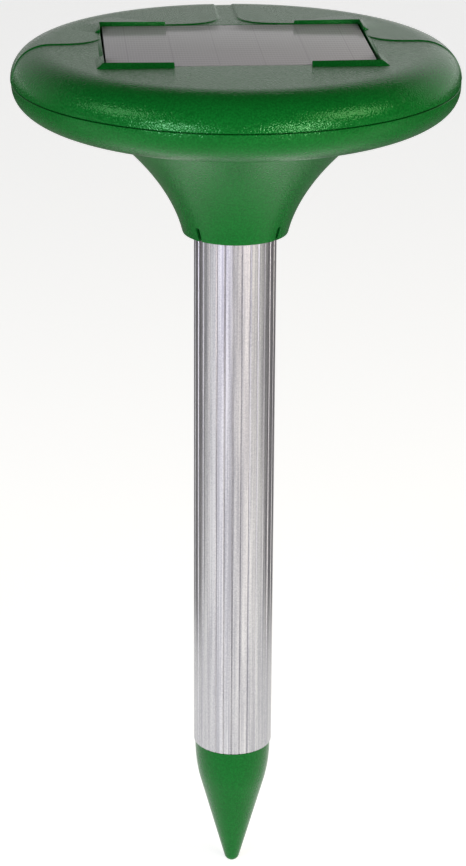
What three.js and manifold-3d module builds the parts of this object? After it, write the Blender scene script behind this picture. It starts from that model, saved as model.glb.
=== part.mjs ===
// A solar powered sonic repeller for the lawn: a mushroom head with a solar panel in its top,
// push-fitted on a grooved aluminium tube that carries the speaker, on a plastic ground spike.
// Units are millimetres, +Z is up, and the origin is the tip of the spike, on the tube's axis.
// The head is built about its own parting plane, where its two covers meet.

import * as THREE from 'three';
import { ConvexGeometry } from 'three/addons/geometries/ConvexGeometry.js';
import { mergeVertices } from 'three/addons/utils/BufferGeometryUtils.js';
import Module from 'manifold-3d';

// ---- Driving dimensions -------------------------------------------------------------------

const GAP = 0.3; // clearance kept between neighbouring pieces

// Stake, measured up from the tip.
const TIP_RADIUS = 3.2;
const CONE_ANGLE = THREE.MathUtils.degToRad(15.3);
const CONE_TOP = 34; // where the straight cone turns into the rounded shoulder
const SHOULDER_RADIUS = 14.5;
const SHOULDER_Z = 54;
const SPIGOT_RADIUS = 13.5;
const SPIGOT_TOP = 76;
const SEAL_GROOVE = { low: 66, high: 68.6, radius: 11.5 };
const SPIKE_SEAL = { ring: 12.7, section: 0.9 };
const TUBE = { radius: 15, bore: 13.8, low: 54.3, high: 284 };
const GROOVES = { count: 30, depth: 0.35, halfWidth: 0.35 };

// Head, measured from the parting plane.
const PARTING_Z = 316.5;
const HEAD_RADIUS = 80;
const TOP_Z = 11.9;
const RIM_START = 65; // radius where the flat top starts to round over
const RIM_POWER = 2.2; // exponent of the rim's superellipse
const WALL = 2.4;
const JOINT_GAP = 0.4; // the dark line between the covers
const OVERHANG = 0.25; // the top cover stands this much proud of the lower one
const RAISED = 0.4; // height of the two raised areas at the back of the top
const UNDERSIDE_Z = -14.8;
const UNDERSIDE_POWER = 2.42;
const UNDERSIDE_START = 48.4;
const NECK_TOP_RADIUS = 50.6;
const COLLAR = { radius: 19.3, bore: 15.3, bottom: -56.5 };
const SOCKET = { radius: 17.3, top: -29.5, lipRadius: 12.8, lipLow: -32.2, pocketFloor: -46.5 };
const SLIT = { width: 1.2, height: 5.5 };
const SEAL_RING = { inner: 77.2, outer: 78.6, low: -2.3, high: -1.3 };

// Solar panel and the pocket that it lies in.
const PANEL = { length: 93.5, width: 64, top: 11.9 };
const PANEL_LAYERS = { cover: 0.6, cells: 0.3, board: 1.4, gasket: 1.0 };
const POCKET = { halfX: 47.55, halfY: 32.3, floorThickness: 2, wall: 2 };
const GUARD = { longArm: 24, shortArm: 12, slope: 2.8, cornerTop: 13.6, endTop: 13.4 };
const BEZEL = { halfLength: 20, width: 1.4, height: 0.4 };

const POCKET_FLOOR_Z = PANEL.top
  - PANEL_LAYERS.cover - PANEL_LAYERS.cells - PANEL_LAYERS.board - PANEL_LAYERS.gasket - 4 * GAP;
const TUB_LOW = POCKET_FLOOR_Z - POCKET.floorThickness;

// Fastening and insides of the head.
const SCREW_CIRCLE = 64;
const BOSS = { topRadius: 3.6, lowerRadius: 4.6, meet: -4.2 };
const SCREW = { head: 2.9, headHeight: 2.3, shaft: 1.4, length: 16, headLow: -12.6 };
const BOARD = { halfX: 29, y: [-33, -5], low: -2.1, thickness: 1.6 };
const CELL = { radius: 7.1, length: 48.5, nubRadius: 2.7, nub: 1, pitch: 15.5, firstY: 9.2, z: -4.2 };
const TRAY = { halfX: 31, y: [0.5, 49], low: -8.5, top: 4.6, wall: 1.4, plate: 1.3 };
const BUTTON = { y: 62, radius: 4, hole: 4.6, low: -16.4, sealSeat: -12.4 };
const BUTTON_GUIDE = { inner: 5.9, outer: 7.2, lipInner: 5 };
const BUTTON_SEAL = { outer: 5.6, low: -12.1, high: -11 };
const BUTTON_SHAPE = { flangeRadius: 5.4, flangeLow: -10.4, flangeHigh: -9.4, stem: 3, top: -7.7 };
const SWITCH = { half: 7, low: -6, height: 6.5, bore: 2, plunger: 1.6, plungerLow: -7.4 };
const BOARD_POSTS = { x: [-24, 24], y: (BOARD.y[0] + BOARD.y[1]) / 2, radius: 3 };
const HEADERS = { x: [-14, -4.5, 5, 14.5], y: -25, height: 5 };
const WIRE = { radius: 0.6, spacing: 0.95, startZ: BOARD.low - HEADERS.height - 2 * GAP };
const LEAD_HOLE = { radius: 3.5, x: 36, y: -12 };
const HOOK = { y: [18, 30], thickness: 2, lip: 1.2, foot: 1.6 };
const SPRING = { radius: 4.6, length: 3.9, turns: 3, wire: 0.35 };
const CONTACT = { inner: 27.9, thickness: 0.4, half: 6 };

// Speaker in the tube, measured up from the tip.
const SPEAKER = { rim: 13.3, faceZ: 90, backZ: 97, magnet: 8, magnetTop: 103.3 };
const HOLDER_BORE = 11.8;
const COIL = { inner: 3.4, outer: 4, above: 4.2, length: 4.5 };
const TUBE_PLUG = { hole: 5.3, innerDepth: 6, outerDepth: 14 };
const JACK = { outer: 5, bore: 3, depth: 15.5, length: 18 };
const PLUG = { tipLow: -45.5, tipRadius: 1.1, pin: 1.75, body: 2.6, bodyLow: -33.5 };
const PLUG_FLANGE = { radius: 5, height: 2.4 };
const PLUG_HOLDER = { hole: 3.4, thickness: 2 };

const FACETS = 48; // round pieces of the head
const STAKE_FACETS = 24; // the spike and what the tube holds
const SMALL_FACETS = 12; // screws, cells and other small round pieces

// ---- Solids -------------------------------------------------------------------------------

const wasm = await Module();
wasm.setup();

function signedVolume(points, triangles) {
  const corners = [new THREE.Vector3(), new THREE.Vector3(), new THREE.Vector3()];
  let volume = 0;
  for (let i = 0; i < triangles.length; i += 3) {
    corners.forEach((corner, k) => corner.fromBufferAttribute(points, triangles[i + k]));
    volume += corners[0].dot(corners[1].cross(corners[2])) / 6;
  }
  return volume;
}

// A closed three.js geometry as a solid that can be joined and cut.
function solid(geometry) {
  geometry.deleteAttribute('normal');
  geometry.deleteAttribute('uv');
  const merged = mergeVertices(geometry, 1e-4);
  const points = merged.getAttribute('position');
  const source = merged.getIndex().array;
  const triangles = [];
  for (let i = 0; i < source.length; i += 3) {
    const [a, b, c] = source.slice(i, i + 3);
    if (a !== b && b !== c && c !== a) triangles.push(a, b, c);
  }
  if (signedVolume(points, triangles) < 0) triangles.reverse();
  return new wasm.Manifold(new wasm.Mesh({
    numProp: 3,
    vertProperties: new Float32Array(points.array),
    triVerts: new Uint32Array(triangles),
  }));
}

function joined(first, ...others) {
  return others.reduce((whole, piece) => whole.add(piece), first);
}

function cut(first, ...others) {
  return others.reduce((whole, piece) => whole.subtract(piece), first);
}

// A profile of [radius, height] points turned about Z. It closes on itself or on the axis.
function revolve(profile, facets = FACETS) {
  const points = profile.map(([radius, height]) => new THREE.Vector2(radius, height));
  const onAxis = profile[0][0] === 0 && profile[profile.length - 1][0] === 0;
  if (!onAxis) points.push(points[0].clone());
  const geometry = new THREE.LatheGeometry(points, facets);
  geometry.rotateX(Math.PI / 2);
  return solid(geometry);
}

function ring(inner, outer, low, high, facets = FACETS) {
  return revolve([[inner, low], [outer, low], [outer, high], [inner, high]], facets);
}

function rod(radius, low, high, facets = SMALL_FACETS) {
  const geometry = new THREE.CylinderGeometry(radius, radius, high - low, facets);
  geometry.rotateX(Math.PI / 2);
  geometry.translate(0, 0, (low + high) / 2);
  return solid(geometry);
}

function box([x0, x1], [y0, y1], [z0, z1]) {
  const geometry = new THREE.BoxGeometry(x1 - x0, y1 - y0, z1 - z0);
  geometry.translate((x0 + x1) / 2, (y0 + y1) / 2, (z0 + z1) / 2);
  return solid(geometry);
}

// The two ends of a stretch in rising order.
function span(a, b) {
  return [Math.min(a, b), Math.max(a, b)];
}

function prism(shape, low, high, curveSegments = 12) {
  const options = { depth: high - low, bevelEnabled: false, curveSegments };
  const geometry = new THREE.ExtrudeGeometry(shape, options);
  geometry.translate(0, 0, low);
  return solid(geometry);
}

// A round section with an even number of sides, swept along a curve.
function swept(curve, radius, steps, sides = 6) {
  const section = new THREE.Shape();
  section.absarc(0, 0, radius, 0, 2 * Math.PI);
  const options = { steps, extrudePath: curve, curveSegments: sides / 2 };
  return solid(new THREE.ExtrudeGeometry(section, options));
}

function wireAlong(points, steps = 12) {
  return swept(new THREE.CatmullRomCurve3(points), WIRE.radius, steps);
}

// The centre line of one wire of a pair: the route moved level and square to its own run.
function besideRoute(route, distance) {
  const points = route.map((point) => new THREE.Vector3(...point));
  const aside = new THREE.Vector3(distance, 0, 0);
  return points.map((point, i) => {
    const before = points[Math.max(i - 1, 0)];
    const after = points[Math.min(i + 1, points.length - 1)];
    const run = new THREE.Vector3().subVectors(after, before).setZ(0);
    if (run.length() > 1) aside.set(-run.y, run.x, 0).setLength(distance);
    return point.clone().add(aside);
  });
}

class Helix extends THREE.Curve {
  constructor(radius, length, turns) {
    super();
    Object.assign(this, { radius, length, turns });
  }

  getPoint(t, target = new THREE.Vector3()) {
    const angle = 2 * Math.PI * this.turns * t;
    const taper = this.radius * (1 - 0.35 * t);
    return target.set(this.length * t, taper * Math.cos(angle), taper * Math.sin(angle));
  }
}

// ---- Materials ----------------------------------------------------------------------------

function finish(color, roughness, metalness = 0) {
  return new THREE.MeshStandardMaterial({ color, roughness, metalness });
}

const greenPlastic = finish('#1f7433', 0.45);
const aluminium = finish('#c6c8cd', 0.35, 1);
const blackRubber = finish('#1c1c1d', 0.8);
const blackPlastic = finish('#232426', 0.55);
const whiteNylon = finish('#e4e3dc', 0.5);
const panelFilm = finish('#8f8d92', 0.12);
const silicon = finish('#1b2233', 0.3);
const circuitBoard = finish('#1c6b45', 0.5);
const steel = finish('#b9bcc0', 0.3, 1);
const springWire = finish('#a9adb3', 0.35, 1);
const cellSleeve = finish('#2d6fb3', 0.35);
const ferrite = finish('#3a3b3e', 0.6);
const coneFilm = finish('#cfc9b4', 0.4);
const redWire = finish('#b3211d', 0.5);
const blackWire = finish('#1f1f20', 0.5);

// A solid as a named mesh.
function part(name, material, body) {
  const { numProp, vertProperties, triVerts } = body.getMesh();
  const positions = new Float32Array((vertProperties.length / numProp) * 3);
  for (let i = 0; i < positions.length / 3; i += 1) {
    positions.set(vertProperties.subarray(i * numProp, i * numProp + 3), i * 3);
  }
  const geometry = new THREE.BufferGeometry();
  geometry.setAttribute('position', new THREE.BufferAttribute(positions, 3));
  geometry.setIndex([...triVerts]);
  geometry.computeVertexNormals();
  const mesh = new THREE.Mesh(geometry, material);
  mesh.name = name;
  return mesh;
}

function placed(mesh, x, y, z, turn = 0) {
  mesh.position.set(x, y, z);
  mesh.rotation.z = turn;
  return mesh;
}

// ---- Stake: spike, tube and speaker -------------------------------------------------------

// Round tip, straight cone, rounded shoulder, and the spigot that plugs into the tube.
function spikeSolid() {
  const tangentAngle = Math.PI / 2 - CONE_ANGLE;
  const profile = [];
  for (let i = 0; i <= 4; i += 1) {
    const angle = (tangentAngle * i) / 4;
    profile.push([TIP_RADIUS * Math.sin(angle), TIP_RADIUS * (1 - Math.cos(angle))]);
  }
  const [tipR, tipZ] = profile[profile.length - 1];
  const coneTop = new THREE.Vector2(tipR + (CONE_TOP - tipZ) * Math.tan(CONE_ANGLE), CONE_TOP);
  const shoulder = new THREE.Vector2(SHOULDER_RADIUS, SHOULDER_Z);
  const knee = new THREE.Vector2(
    SHOULDER_RADIUS,
    CONE_TOP + (SHOULDER_RADIUS - coneTop.x) / Math.tan(CONE_ANGLE),
  );
  const bend = new THREE.QuadraticBezierCurve(coneTop, knee, shoulder);
  profile.push(...bend.getPoints(6).map((point) => [point.x, point.y]));
  profile.push(
    [SPIGOT_RADIUS, SHOULDER_Z],
    [SPIGOT_RADIUS, SEAL_GROOVE.low],
    [SEAL_GROOVE.radius, SEAL_GROOVE.low],
    [SEAL_GROOVE.radius, SEAL_GROOVE.high],
    [SPIGOT_RADIUS, SEAL_GROOVE.high],
    [SPIGOT_RADIUS, SPIGOT_TOP],
    [0, SPIGOT_TOP],
  );
  return revolve(profile, 32);
}

function spikeSealSolid() {
  const middle = (SEAL_GROOVE.low + SEAL_GROOVE.high) / 2;
  const profile = [];
  for (let i = 0; i < 6; i += 1) {
    const angle = (2 * Math.PI * i) / 6;
    const radius = SPIKE_SEAL.ring + SPIKE_SEAL.section * Math.cos(angle);
    profile.push([radius, middle + SPIKE_SEAL.section * Math.sin(angle)]);
  }
  return revolve(profile, STAKE_FACETS);
}

// Extruded tube: its outside runs round in equal flats with a narrow V groove between them.
function tubeSolid() {
  const outline = new THREE.Shape();
  const pitch = (2 * Math.PI) / GROOVES.count;
  const grooveAngle = GROOVES.halfWidth / TUBE.radius;
  const offsets = [
    [-grooveAngle, 0],
    [0, GROOVES.depth],
    [grooveAngle, 0],
    [pitch / 2, 0],
  ];
  const points = [];
  for (let i = 0; i < GROOVES.count; i += 1) {
    for (const [angle, depth] of offsets) {
      const radius = TUBE.radius - depth;
      const around = i * pitch + angle;
      points.push(new THREE.Vector2(radius * Math.cos(around), radius * Math.sin(around)));
    }
  }
  outline.setFromPoints(points);
  const bore = new THREE.Path();
  bore.absarc(0, 0, TUBE.bore, 0, 2 * Math.PI, true);
  outline.holes.push(bore);
  return prism(outline, TUBE.low, TUBE.high, 30);
}

// Disc in the top of the tube with a hole for the socket of the head's plug.
function tubePlugSolid() {
  const radius = TUBE.bore - GAP;
  const top = TUBE.high - GAP;
  return revolve([
    [TUBE_PLUG.hole, top - TUBE_PLUG.innerDepth],
    [radius, top - TUBE_PLUG.outerDepth],
    [radius, top],
    [TUBE_PLUG.hole, top],
  ], STAKE_FACETS);
}

function jackSocketSolid() {
  const { outer, bore, depth, length } = JACK;
  const top = TUBE.high - GAP;
  return revolve([
    [0, top - length],
    [outer, top - length],
    [outer, top],
    [bore, top],
    [bore, top - depth],
    [0, top - depth],
  ], SMALL_FACETS);
}

function speakerHolderSolid() {
  return ring(HOLDER_BORE, TUBE.bore - GAP, SPIGOT_TOP + GAP, SPEAKER.faceZ - GAP, STAKE_FACETS);
}

// Pressed basket: a flat rim, a conical wall and a back plate with a hole for the voice coil.
function speakerFrameSolid() {
  const { rim, faceZ, backZ } = SPEAKER;
  return revolve([
    [4.6, backZ - 0.8],
    [8.2, backZ - 0.8],
    [12, faceZ + 0.9],
    [12, faceZ],
    [rim, faceZ],
    [rim, faceZ + 1],
    [9, backZ],
    [4.6, backZ],
  ], STAKE_FACETS);
}

// Ring magnet and yoke in one, with an annular slot for the coil.
function speakerMagnetSolid() {
  const low = SPEAKER.backZ + GAP;
  return revolve([
    [0, low],
    [3, low],
    [3, low + 3],
    [4.5, low + 3],
    [4.5, low],
    [SPEAKER.magnet, low],
    [SPEAKER.magnet, SPEAKER.magnetTop],
    [0, SPEAKER.magnetTop],
  ], STAKE_FACETS);
}

// Thin cone with a domed middle, which moves a fraction of a millimetre.
function speakerConeSolid() {
  const z = SPEAKER.faceZ;
  return revolve([
    [0, z + 1.9],
    [2.2, z + 2.3],
    [3.9, z + 3.4],
    [10.6, z + 0.7],
    [11.3, z + 0.7],
    [11.3, z + 1.1],
    [10.7, z + 1.1],
    [4, z + 3.9],
    [2.1, z + 2.8],
    [0, z + 2.4],
  ], STAKE_FACETS);
}

function voiceCoilSolid() {
  const low = SPEAKER.faceZ + COIL.above;
  return ring(COIL.inner, COIL.outer, low, low + COIL.length, SMALL_FACETS);
}

function speakerLead(side) {
  const start = TUBE.high - JACK.length - 2 * GAP;
  const route = [
    [1.6, 0, start],
    [1.8, 0, start - 8],
    [4, 2, 225],
    [2, 4, 180],
    [6, 0, 140],
    [10.6, 0, 112],
    [11, 0, 103],
    [11, 0, 96.8],
  ];
  return wireAlong(route.map(([x, y, z]) => new THREE.Vector3(side * x, side * y, z)), 18);
}

function stakeGroup() {
  const group = new THREE.Group();
  group.add(
    part('spike', greenPlastic, spikeSolid()),
    part('spike_seal', blackRubber, spikeSealSolid()),
    part('tube', aluminium, tubeSolid()),
    part('tube_plug', blackPlastic, tubePlugSolid()),
    part('jack_socket', whiteNylon, jackSocketSolid()),
    part('speaker_holder', blackPlastic, speakerHolderSolid()),
    part('speaker_frame', steel, speakerFrameSolid()),
    part('speaker_magnet', ferrite, speakerMagnetSolid()),
    part('speaker_cone', coneFilm, speakerConeSolid()),
    part('voice_coil', springWire, voiceCoilSolid()),
    part('speaker_lead_red', redWire, speakerLead(1)),
    part('speaker_lead_black', blackWire, speakerLead(-1)),
  );
  return group;
}

// ---- Head covers --------------------------------------------------------------------------

// A quarter superellipse from the flat at radius start to the widest point at radius end.
function rimCurve(start, end, height, power, steps = 6) {
  const points = [];
  for (let i = 0; i <= steps; i += 1) {
    const angle = (Math.PI / 2) * (i / steps);
    const radius = start + (end - start) * Math.sin(angle) ** (2 / power);
    points.push([radius, height * Math.cos(angle) ** (2 / power)]);
  }
  return points;
}

// The domed outside of the top cover down to the joint, as one solid lump.
function topLump(height, radius) {
  const rim = rimCurve(RIM_START, radius, height, RIM_POWER);
  const aboveJoint = rim.filter(([, z]) => z > JOINT_GAP / 2);
  return revolve([[0, height], ...aboveJoint, [radius, JOINT_GAP / 2], [0, JOINT_GAP / 2]]);
}

// Plan of the raised area on the +X side: a channel at the back centre, the pocket's back
// edge, and a front edge that leaves the pocket in an S and sweeps forward over the rim.
function raisedPlan() {
  const plan = new THREE.Shape();
  const beyond = 1.2 * HEAD_RADIUS;
  plan.moveTo(3.3, beyond);
  plan.lineTo(3.3, 46);
  plan.bezierCurveTo(3.3, 36, 10, POCKET.halfY, 22, POCKET.halfY);
  plan.lineTo(22, 20);
  plan.lineTo(POCKET.halfX - 1, 20);
  plan.lineTo(POCKET.halfX - 1, 13);
  plan.bezierCurveTo(49.5, 5, 54, 2.2, 62, 2.2);
  plan.bezierCurveTo(74, 2.2, 77.5, 1, 80.5, -12);
  plan.lineTo(beyond, -12);
  plan.lineTo(beyond, beyond);
  return plan;
}

// One arm of a corner guard: upright inside, sloping outside, mitred at the corner and a
// little taller there than at its free end.
function guardArm(cornerX, cornerY, freeX, freeY) {
  const base = TOP_Z - 0.8;
  const outward = new THREE.Vector2(Math.sign(cornerX), Math.sign(cornerY)).multiplyScalar(GUARD.slope);
  const alongX = freeY === cornerY;
  const freeOuter = alongX ? [freeX, freeY + outward.y] : [freeX + outward.x, freeY];
  const cornerOuter = [cornerX + outward.x, cornerY + outward.y];
  const corners = [
    [cornerX, cornerY, base],
    [freeX, freeY, base],
    [...freeOuter, base],
    [...cornerOuter, base],
    [cornerX, cornerY, GUARD.cornerTop],
    [freeX, freeY, GUARD.endTop],
    [...freeOuter, TOP_Z],
    [...cornerOuter, TOP_Z],
  ];
  return solid(new ConvexGeometry(corners.map((corner) => new THREE.Vector3(...corner))));
}

function guardSolids() {
  const arms = [];
  for (const sideX of [-1, 1]) {
    for (const sideY of [-1, 1]) {
      const x = sideX * POCKET.halfX;
      const y = sideY * POCKET.halfY;
      arms.push(guardArm(x, y, sideX * (POCKET.halfX - GUARD.longArm), y));
      arms.push(guardArm(x, y, x, sideY * (POCKET.halfY - GUARD.shortArm)));
    }
  }
  return arms;
}

// Low sloping strip beside each short edge of the panel, between the guards.
function bezelSolid(side) {
  const inner = side * POCKET.halfX;
  const outer = inner + side * BEZEL.width;
  const corners = [];
  for (const y of [-BEZEL.halfLength, BEZEL.halfLength]) {
    corners.push([inner, y, TOP_Z - 0.8], [outer, y, TOP_Z - 0.8], [outer, y, TOP_Z]);
    corners.push([inner, y, TOP_Z + BEZEL.height]);
  }
  return solid(new ConvexGeometry(corners.map((corner) => new THREE.Vector3(...corner))));
}

function screwPlaces() {
  const reach = SCREW_CIRCLE * Math.SQRT1_2;
  return [[reach, reach], [-reach, reach], [-reach, -reach], [reach, -reach]];
}

// Inside face of the top cover, with the tongue's inner face as its widest part.
function topInside() {
  const radius = SEAL_RING.inner;
  const inside = rimCurve(RIM_START - 2, radius, TOP_Z - WALL, RIM_POWER, 4);
  return revolve([[0, TOP_Z - WALL], ...inside, [radius, -5], [0, -5]]);
}

function topCoverSolid() {
  const raisedLump = topLump(TOP_Z + RAISED, HEAD_RADIUS);
  const rightArea = prism(raisedPlan(), -1, 2 * TOP_Z, 10);
  const leftArea = rightArea.mirror([1, 0, 0]);
  const tubX = POCKET.halfX + POCKET.wall;
  const tubY = POCKET.halfY + POCKET.wall;

  let cover = joined(
    topLump(TOP_Z, HEAD_RADIUS - OVERHANG),
    raisedLump.intersect(rightArea),
    raisedLump.intersect(leftArea),
  );
  cover = cover.subtract(topInside());
  cover = joined(
    cover,
    box([-tubX, tubX], [-tubY, tubY], [TUB_LOW, TOP_Z - WALL / 2]),
    ring(SEAL_RING.inner, SEAL_RING.outer, SEAL_RING.high + GAP, 1.2),
    ...guardSolids(),
    bezelSolid(-1),
    bezelSolid(1),
  );
  const pocketX = [-POCKET.halfX, POCKET.halfX];
  const pocketY = [-POCKET.halfY, POCKET.halfY];
  const { radius, x: leadX, y: leadY } = LEAD_HOLE;
  const leadHole = rod(radius, TUB_LOW - 1, POCKET_FLOOR_Z + 1).translate([leadX, leadY, 0]);
  cover = cut(cover, box(pocketX, pocketY, [POCKET_FLOOR_Z, 2 * TOP_Z]), leadHole);

  for (const [x, y] of screwPlaces()) {
    const boss = rod(BOSS.topRadius, BOSS.meet, TOP_Z - WALL / 2).translate([x, y, 0]);
    const thread = rod(SCREW.shaft + GAP, -5, 6).translate([x, y, 0]);
    cover = cover.add(boss).subtract(thread);
  }
  for (const x of BOARD_POSTS.x) {
    const place = [x, BOARD_POSTS.y, 0];
    const post = rod(BOARD_POSTS.radius, BOARD.low + BOARD.thickness + GAP, TUB_LOW + 0.5).translate(place);
    const thread = rod(SCREW.shaft + GAP, -1, 3.5).translate(place);
    cover = cover.add(post).subtract(thread);
  }
  for (const side of [-1, 1]) cover = cover.add(trayHook(side));
  return cover;
}

// Springy hook that holds one end of the battery tray.
function trayHook(side) {
  const near = side * (TRAY.halfX + GAP);
  const far = side * (TRAY.halfX + HOOK.thickness);
  const lip = side * (TRAY.halfX - HOOK.lip);
  const foot = TRAY.low - HOOK.foot;
  return joined(
    box(span(near, far), HOOK.y, [foot, TUB_LOW + 0.5]),
    box(span(lip, far), HOOK.y, [foot, TRAY.low - GAP]),
  );
}

// Outside of the trumpet-shaped neck, from the flat underside down to the collar.
function neckCurve(top, bottom) {
  const drop = top.y - bottom.y;
  const reach = top.x - bottom.x;
  const leaving = new THREE.Vector2(top.x - 0.456 * reach, top.y - 0.25 * drop);
  const arriving = new THREE.Vector2(bottom.x + 0.12 * reach, bottom.y + 0.376 * drop);
  return new THREE.CubicBezierCurve(top, leaving, arriving, bottom);
}

function undersideCurve(radius, depth, steps) {
  const rim = rimCurve(UNDERSIDE_START, radius, depth, UNDERSIDE_POWER, steps);
  return rim.filter(([r]) => r > NECK_TOP_RADIUS + 1).reverse();
}

function lowerOutside() {
  const radius = HEAD_RADIUS - OVERHANG;
  const depth = UNDERSIDE_Z + JOINT_GAP / 2;
  const shell = undersideCurve(radius, depth, 6).map(([r, z]) => [r, z - JOINT_GAP / 2]);
  const top = new THREE.Vector2(NECK_TOP_RADIUS, UNDERSIDE_Z);
  const neck = neckCurve(top, new THREE.Vector2(COLLAR.radius, COLLAR.bottom)).getPoints(7);
  return revolve([[0, -JOINT_GAP / 2], ...shell, ...neck.map((p) => [p.x, p.y]), [0, COLLAR.bottom]]);
}

function lowerInside() {
  const depth = UNDERSIDE_Z + WALL + JOINT_GAP / 2;
  const innerRim = SEAL_RING.inner - 1.9;
  const shell = undersideCurve(innerRim, depth, 4).map(([r, z]) => [r, z - JOINT_GAP / 2]);
  const top = new THREE.Vector2(NECK_TOP_RADIUS - 1.6, UNDERSIDE_Z + WALL);
  const foot = new THREE.Vector2(COLLAR.radius - WALL, COLLAR.bottom + WALL);
  const neck = neckCurve(top, foot).getPoints(5).filter((p) => p.y > SOCKET.pocketFloor);
  return revolve([
    [0, 1],
    [innerRim, 1],
    ...shell,
    ...neck.map((p) => [p.x, p.y]),
    [SOCKET.radius + 0.4, SOCKET.pocketFloor],
    [0, SOCKET.pocketFloor],
  ]);
}

// Tube that receives the stake: a bore, and a lip that the tube's end stops against.
function socketWall() {
  return revolve([
    [COLLAR.bore - 1, COLLAR.bottom + 2],
    [COLLAR.bore - 1, SOCKET.lipLow + 1],
    [SOCKET.lipRadius, SOCKET.lipLow + 1],
    [SOCKET.lipRadius, SOCKET.top],
    [SOCKET.radius, SOCKET.top],
    [SOCKET.radius, COLLAR.bottom + 2],
  ]);
}

function buttonGuide() {
  return joined(
    ring(BUTTON_GUIDE.lipInner, BUTTON_GUIDE.outer, UNDERSIDE_Z - 0.9, UNDERSIDE_Z + WALL, SMALL_FACETS),
    ring(BUTTON_GUIDE.inner, BUTTON_GUIDE.outer, UNDERSIDE_Z + WALL - 1, SWITCH.low - GAP, SMALL_FACETS),
  ).translate([0, BUTTON.y, 0]);
}

function lowerCoverSolid() {
  const outside = lowerOutside();
  let cover = outside.subtract(lowerInside());
  cover = joined(cover, socketWall(), buttonGuide());

  for (let i = 0; i < 4; i += 1) {
    const gusset = box([SOCKET.radius - 0.5, 40], [-0.8, 0.8], [SOCKET.pocketFloor - 1, SOCKET.top - 4]);
    cover = cover.add(gusset.rotate([0, 0, 90 * i]).intersect(outside));
  }
  for (const [x, y] of screwPlaces()) {
    const boss = rod(BOSS.lowerRadius, UNDERSIDE_Z + 3.4, BOSS.meet - GAP).translate([x, y, 0]);
    const headRoom = rod(SCREW.head + 0.5, UNDERSIDE_Z - 3, SCREW.headLow + SCREW.headHeight + GAP);
    const shaftRoom = rod(SCREW.shaft + 0.4, UNDERSIDE_Z, 0);
    cover = cover.add(boss).subtract(headRoom.add(shaftRoom).translate([x, y, 0]));
  }
  const bore = rod(COLLAR.bore, COLLAR.bottom - 5, SOCKET.lipLow, FACETS);
  const lipHole = rod(SOCKET.lipRadius, SOCKET.lipLow - 1, SOCKET.top + 1, FACETS);
  const sealRoom = ring(SEAL_RING.inner - GAP, SEAL_RING.outer + GAP, SEAL_RING.low - GAP, 1);
  const buttonHole = joined(
    rod(BUTTON.hole, UNDERSIDE_Z - 3, -5),
    rod(BUTTON_GUIDE.inner, BUTTON.sealSeat, -5),
  ).translate([0, BUTTON.y, 0]);
  cover = cut(cover, bore, lipHole, sealRoom, buttonHole);

  for (const angle of [45, 135, 225, 315]) {
    const slit = new THREE.Shape();
    const half = SLIT.width / 2;
    slit.moveTo(-half, -2);
    slit.lineTo(half, -2);
    slit.lineTo(half, SLIT.height - half);
    slit.absarc(0, SLIT.height - half, half, 0, Math.PI);
    const cutter = prism(slit, 0, 10, 6).rotate([90, 0, 90]);
    cover = cover.subtract(cutter.translate([12, 0, COLLAR.bottom]).rotate([0, 0, angle]));
  }
  return cover;
}

function rimSealSolid() {
  return ring(SEAL_RING.inner, SEAL_RING.outer, SEAL_RING.low, SEAL_RING.high);
}

// Pan head screw with its head down and a cross recess in it.
function screwSolid(length) {
  const recess = [[3, 0.8], [0.8, 3]].map(([x, y]) => box([-x / 2, x / 2], [-y / 2, y / 2], [-1, 1]));
  const body = revolve([
    [0, 0],
    [0.75 * SCREW.head, 0],
    [SCREW.head, 0.8],
    [SCREW.head, SCREW.headHeight],
    [SCREW.shaft, SCREW.headHeight],
    [SCREW.shaft, length - 1.5],
    [0.3, length],
    [0, length],
  ], SMALL_FACETS);
  return cut(body, ...recess);
}

// ---- Solar panel --------------------------------------------------------------------------

function panelMeshes() {
  const x = PANEL.length / 2;
  const y = PANEL.width / 2;
  const sheet = (inset, top, thickness) => {
    const spanX = [inset - x, x - inset];
    const spanY = [inset - y, y - inset];
    return box(spanX, spanY, [top - thickness, top]);
  };
  const cellsTop = PANEL.top - PANEL_LAYERS.cover - GAP;
  const boardTop = cellsTop - PANEL_LAYERS.cells - GAP;
  const gasketTop = boardTop - PANEL_LAYERS.board - GAP;
  const gasketOuter = sheet(0, gasketTop, PANEL_LAYERS.gasket);
  const gasketInner = box([6 - x, x - 6], [6 - y, y - 6], [0, PANEL.top]);
  return [
    part('panel_cover_sheet', panelFilm, sheet(0, PANEL.top, PANEL_LAYERS.cover)),
    part('solar_cells', silicon, sheet(1, cellsTop, PANEL_LAYERS.cells)),
    part('panel_board', circuitBoard, sheet(0, boardTop, PANEL_LAYERS.board)),
    part('panel_gasket', blackRubber, gasketOuter.subtract(gasketInner)),
  ];
}

// ---- Insides of the head ------------------------------------------------------------------

function boardMeshes() {
  const boardX = [-BOARD.halfX, BOARD.halfX];
  let board = box(boardX, BOARD.y, [BOARD.low, BOARD.low + BOARD.thickness]);
  for (const x of BOARD_POSTS.x) {
    board = board.subtract(rod(SCREW.shaft + GAP, -3, 1).translate([x, BOARD_POSTS.y, 0]));
  }
  const under = BOARD.low - GAP;
  const meshes = [
    part('control_board', circuitBoard, board),
    placed(part('timer_chip', blackPlastic, box([-5, 5], [-3.2, 3.2], [-2.6, 0])), -4, -11, under),
    placed(part('capacitor', blackPlastic, rod(4, -8, 0)), 12, -11, under),
  ];
  BOARD_POSTS.x.forEach((x, i) => {
    const screw = part(`board_screw_${i + 1}`, steel, screwSolid(7));
    meshes.push(placed(screw, x, BOARD_POSTS.y, BOARD.low - GAP - SCREW.headHeight));
  });
  HEADERS.x.forEach((x, i) => {
    const header = box([-3.6, 3.6], [-2.5, 2.5], [-HEADERS.height, 0]);
    meshes.push(placed(part(`wire_header_${i + 1}`, whiteNylon, header), x, HEADERS.y, under));
  });
  return meshes;
}

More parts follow.
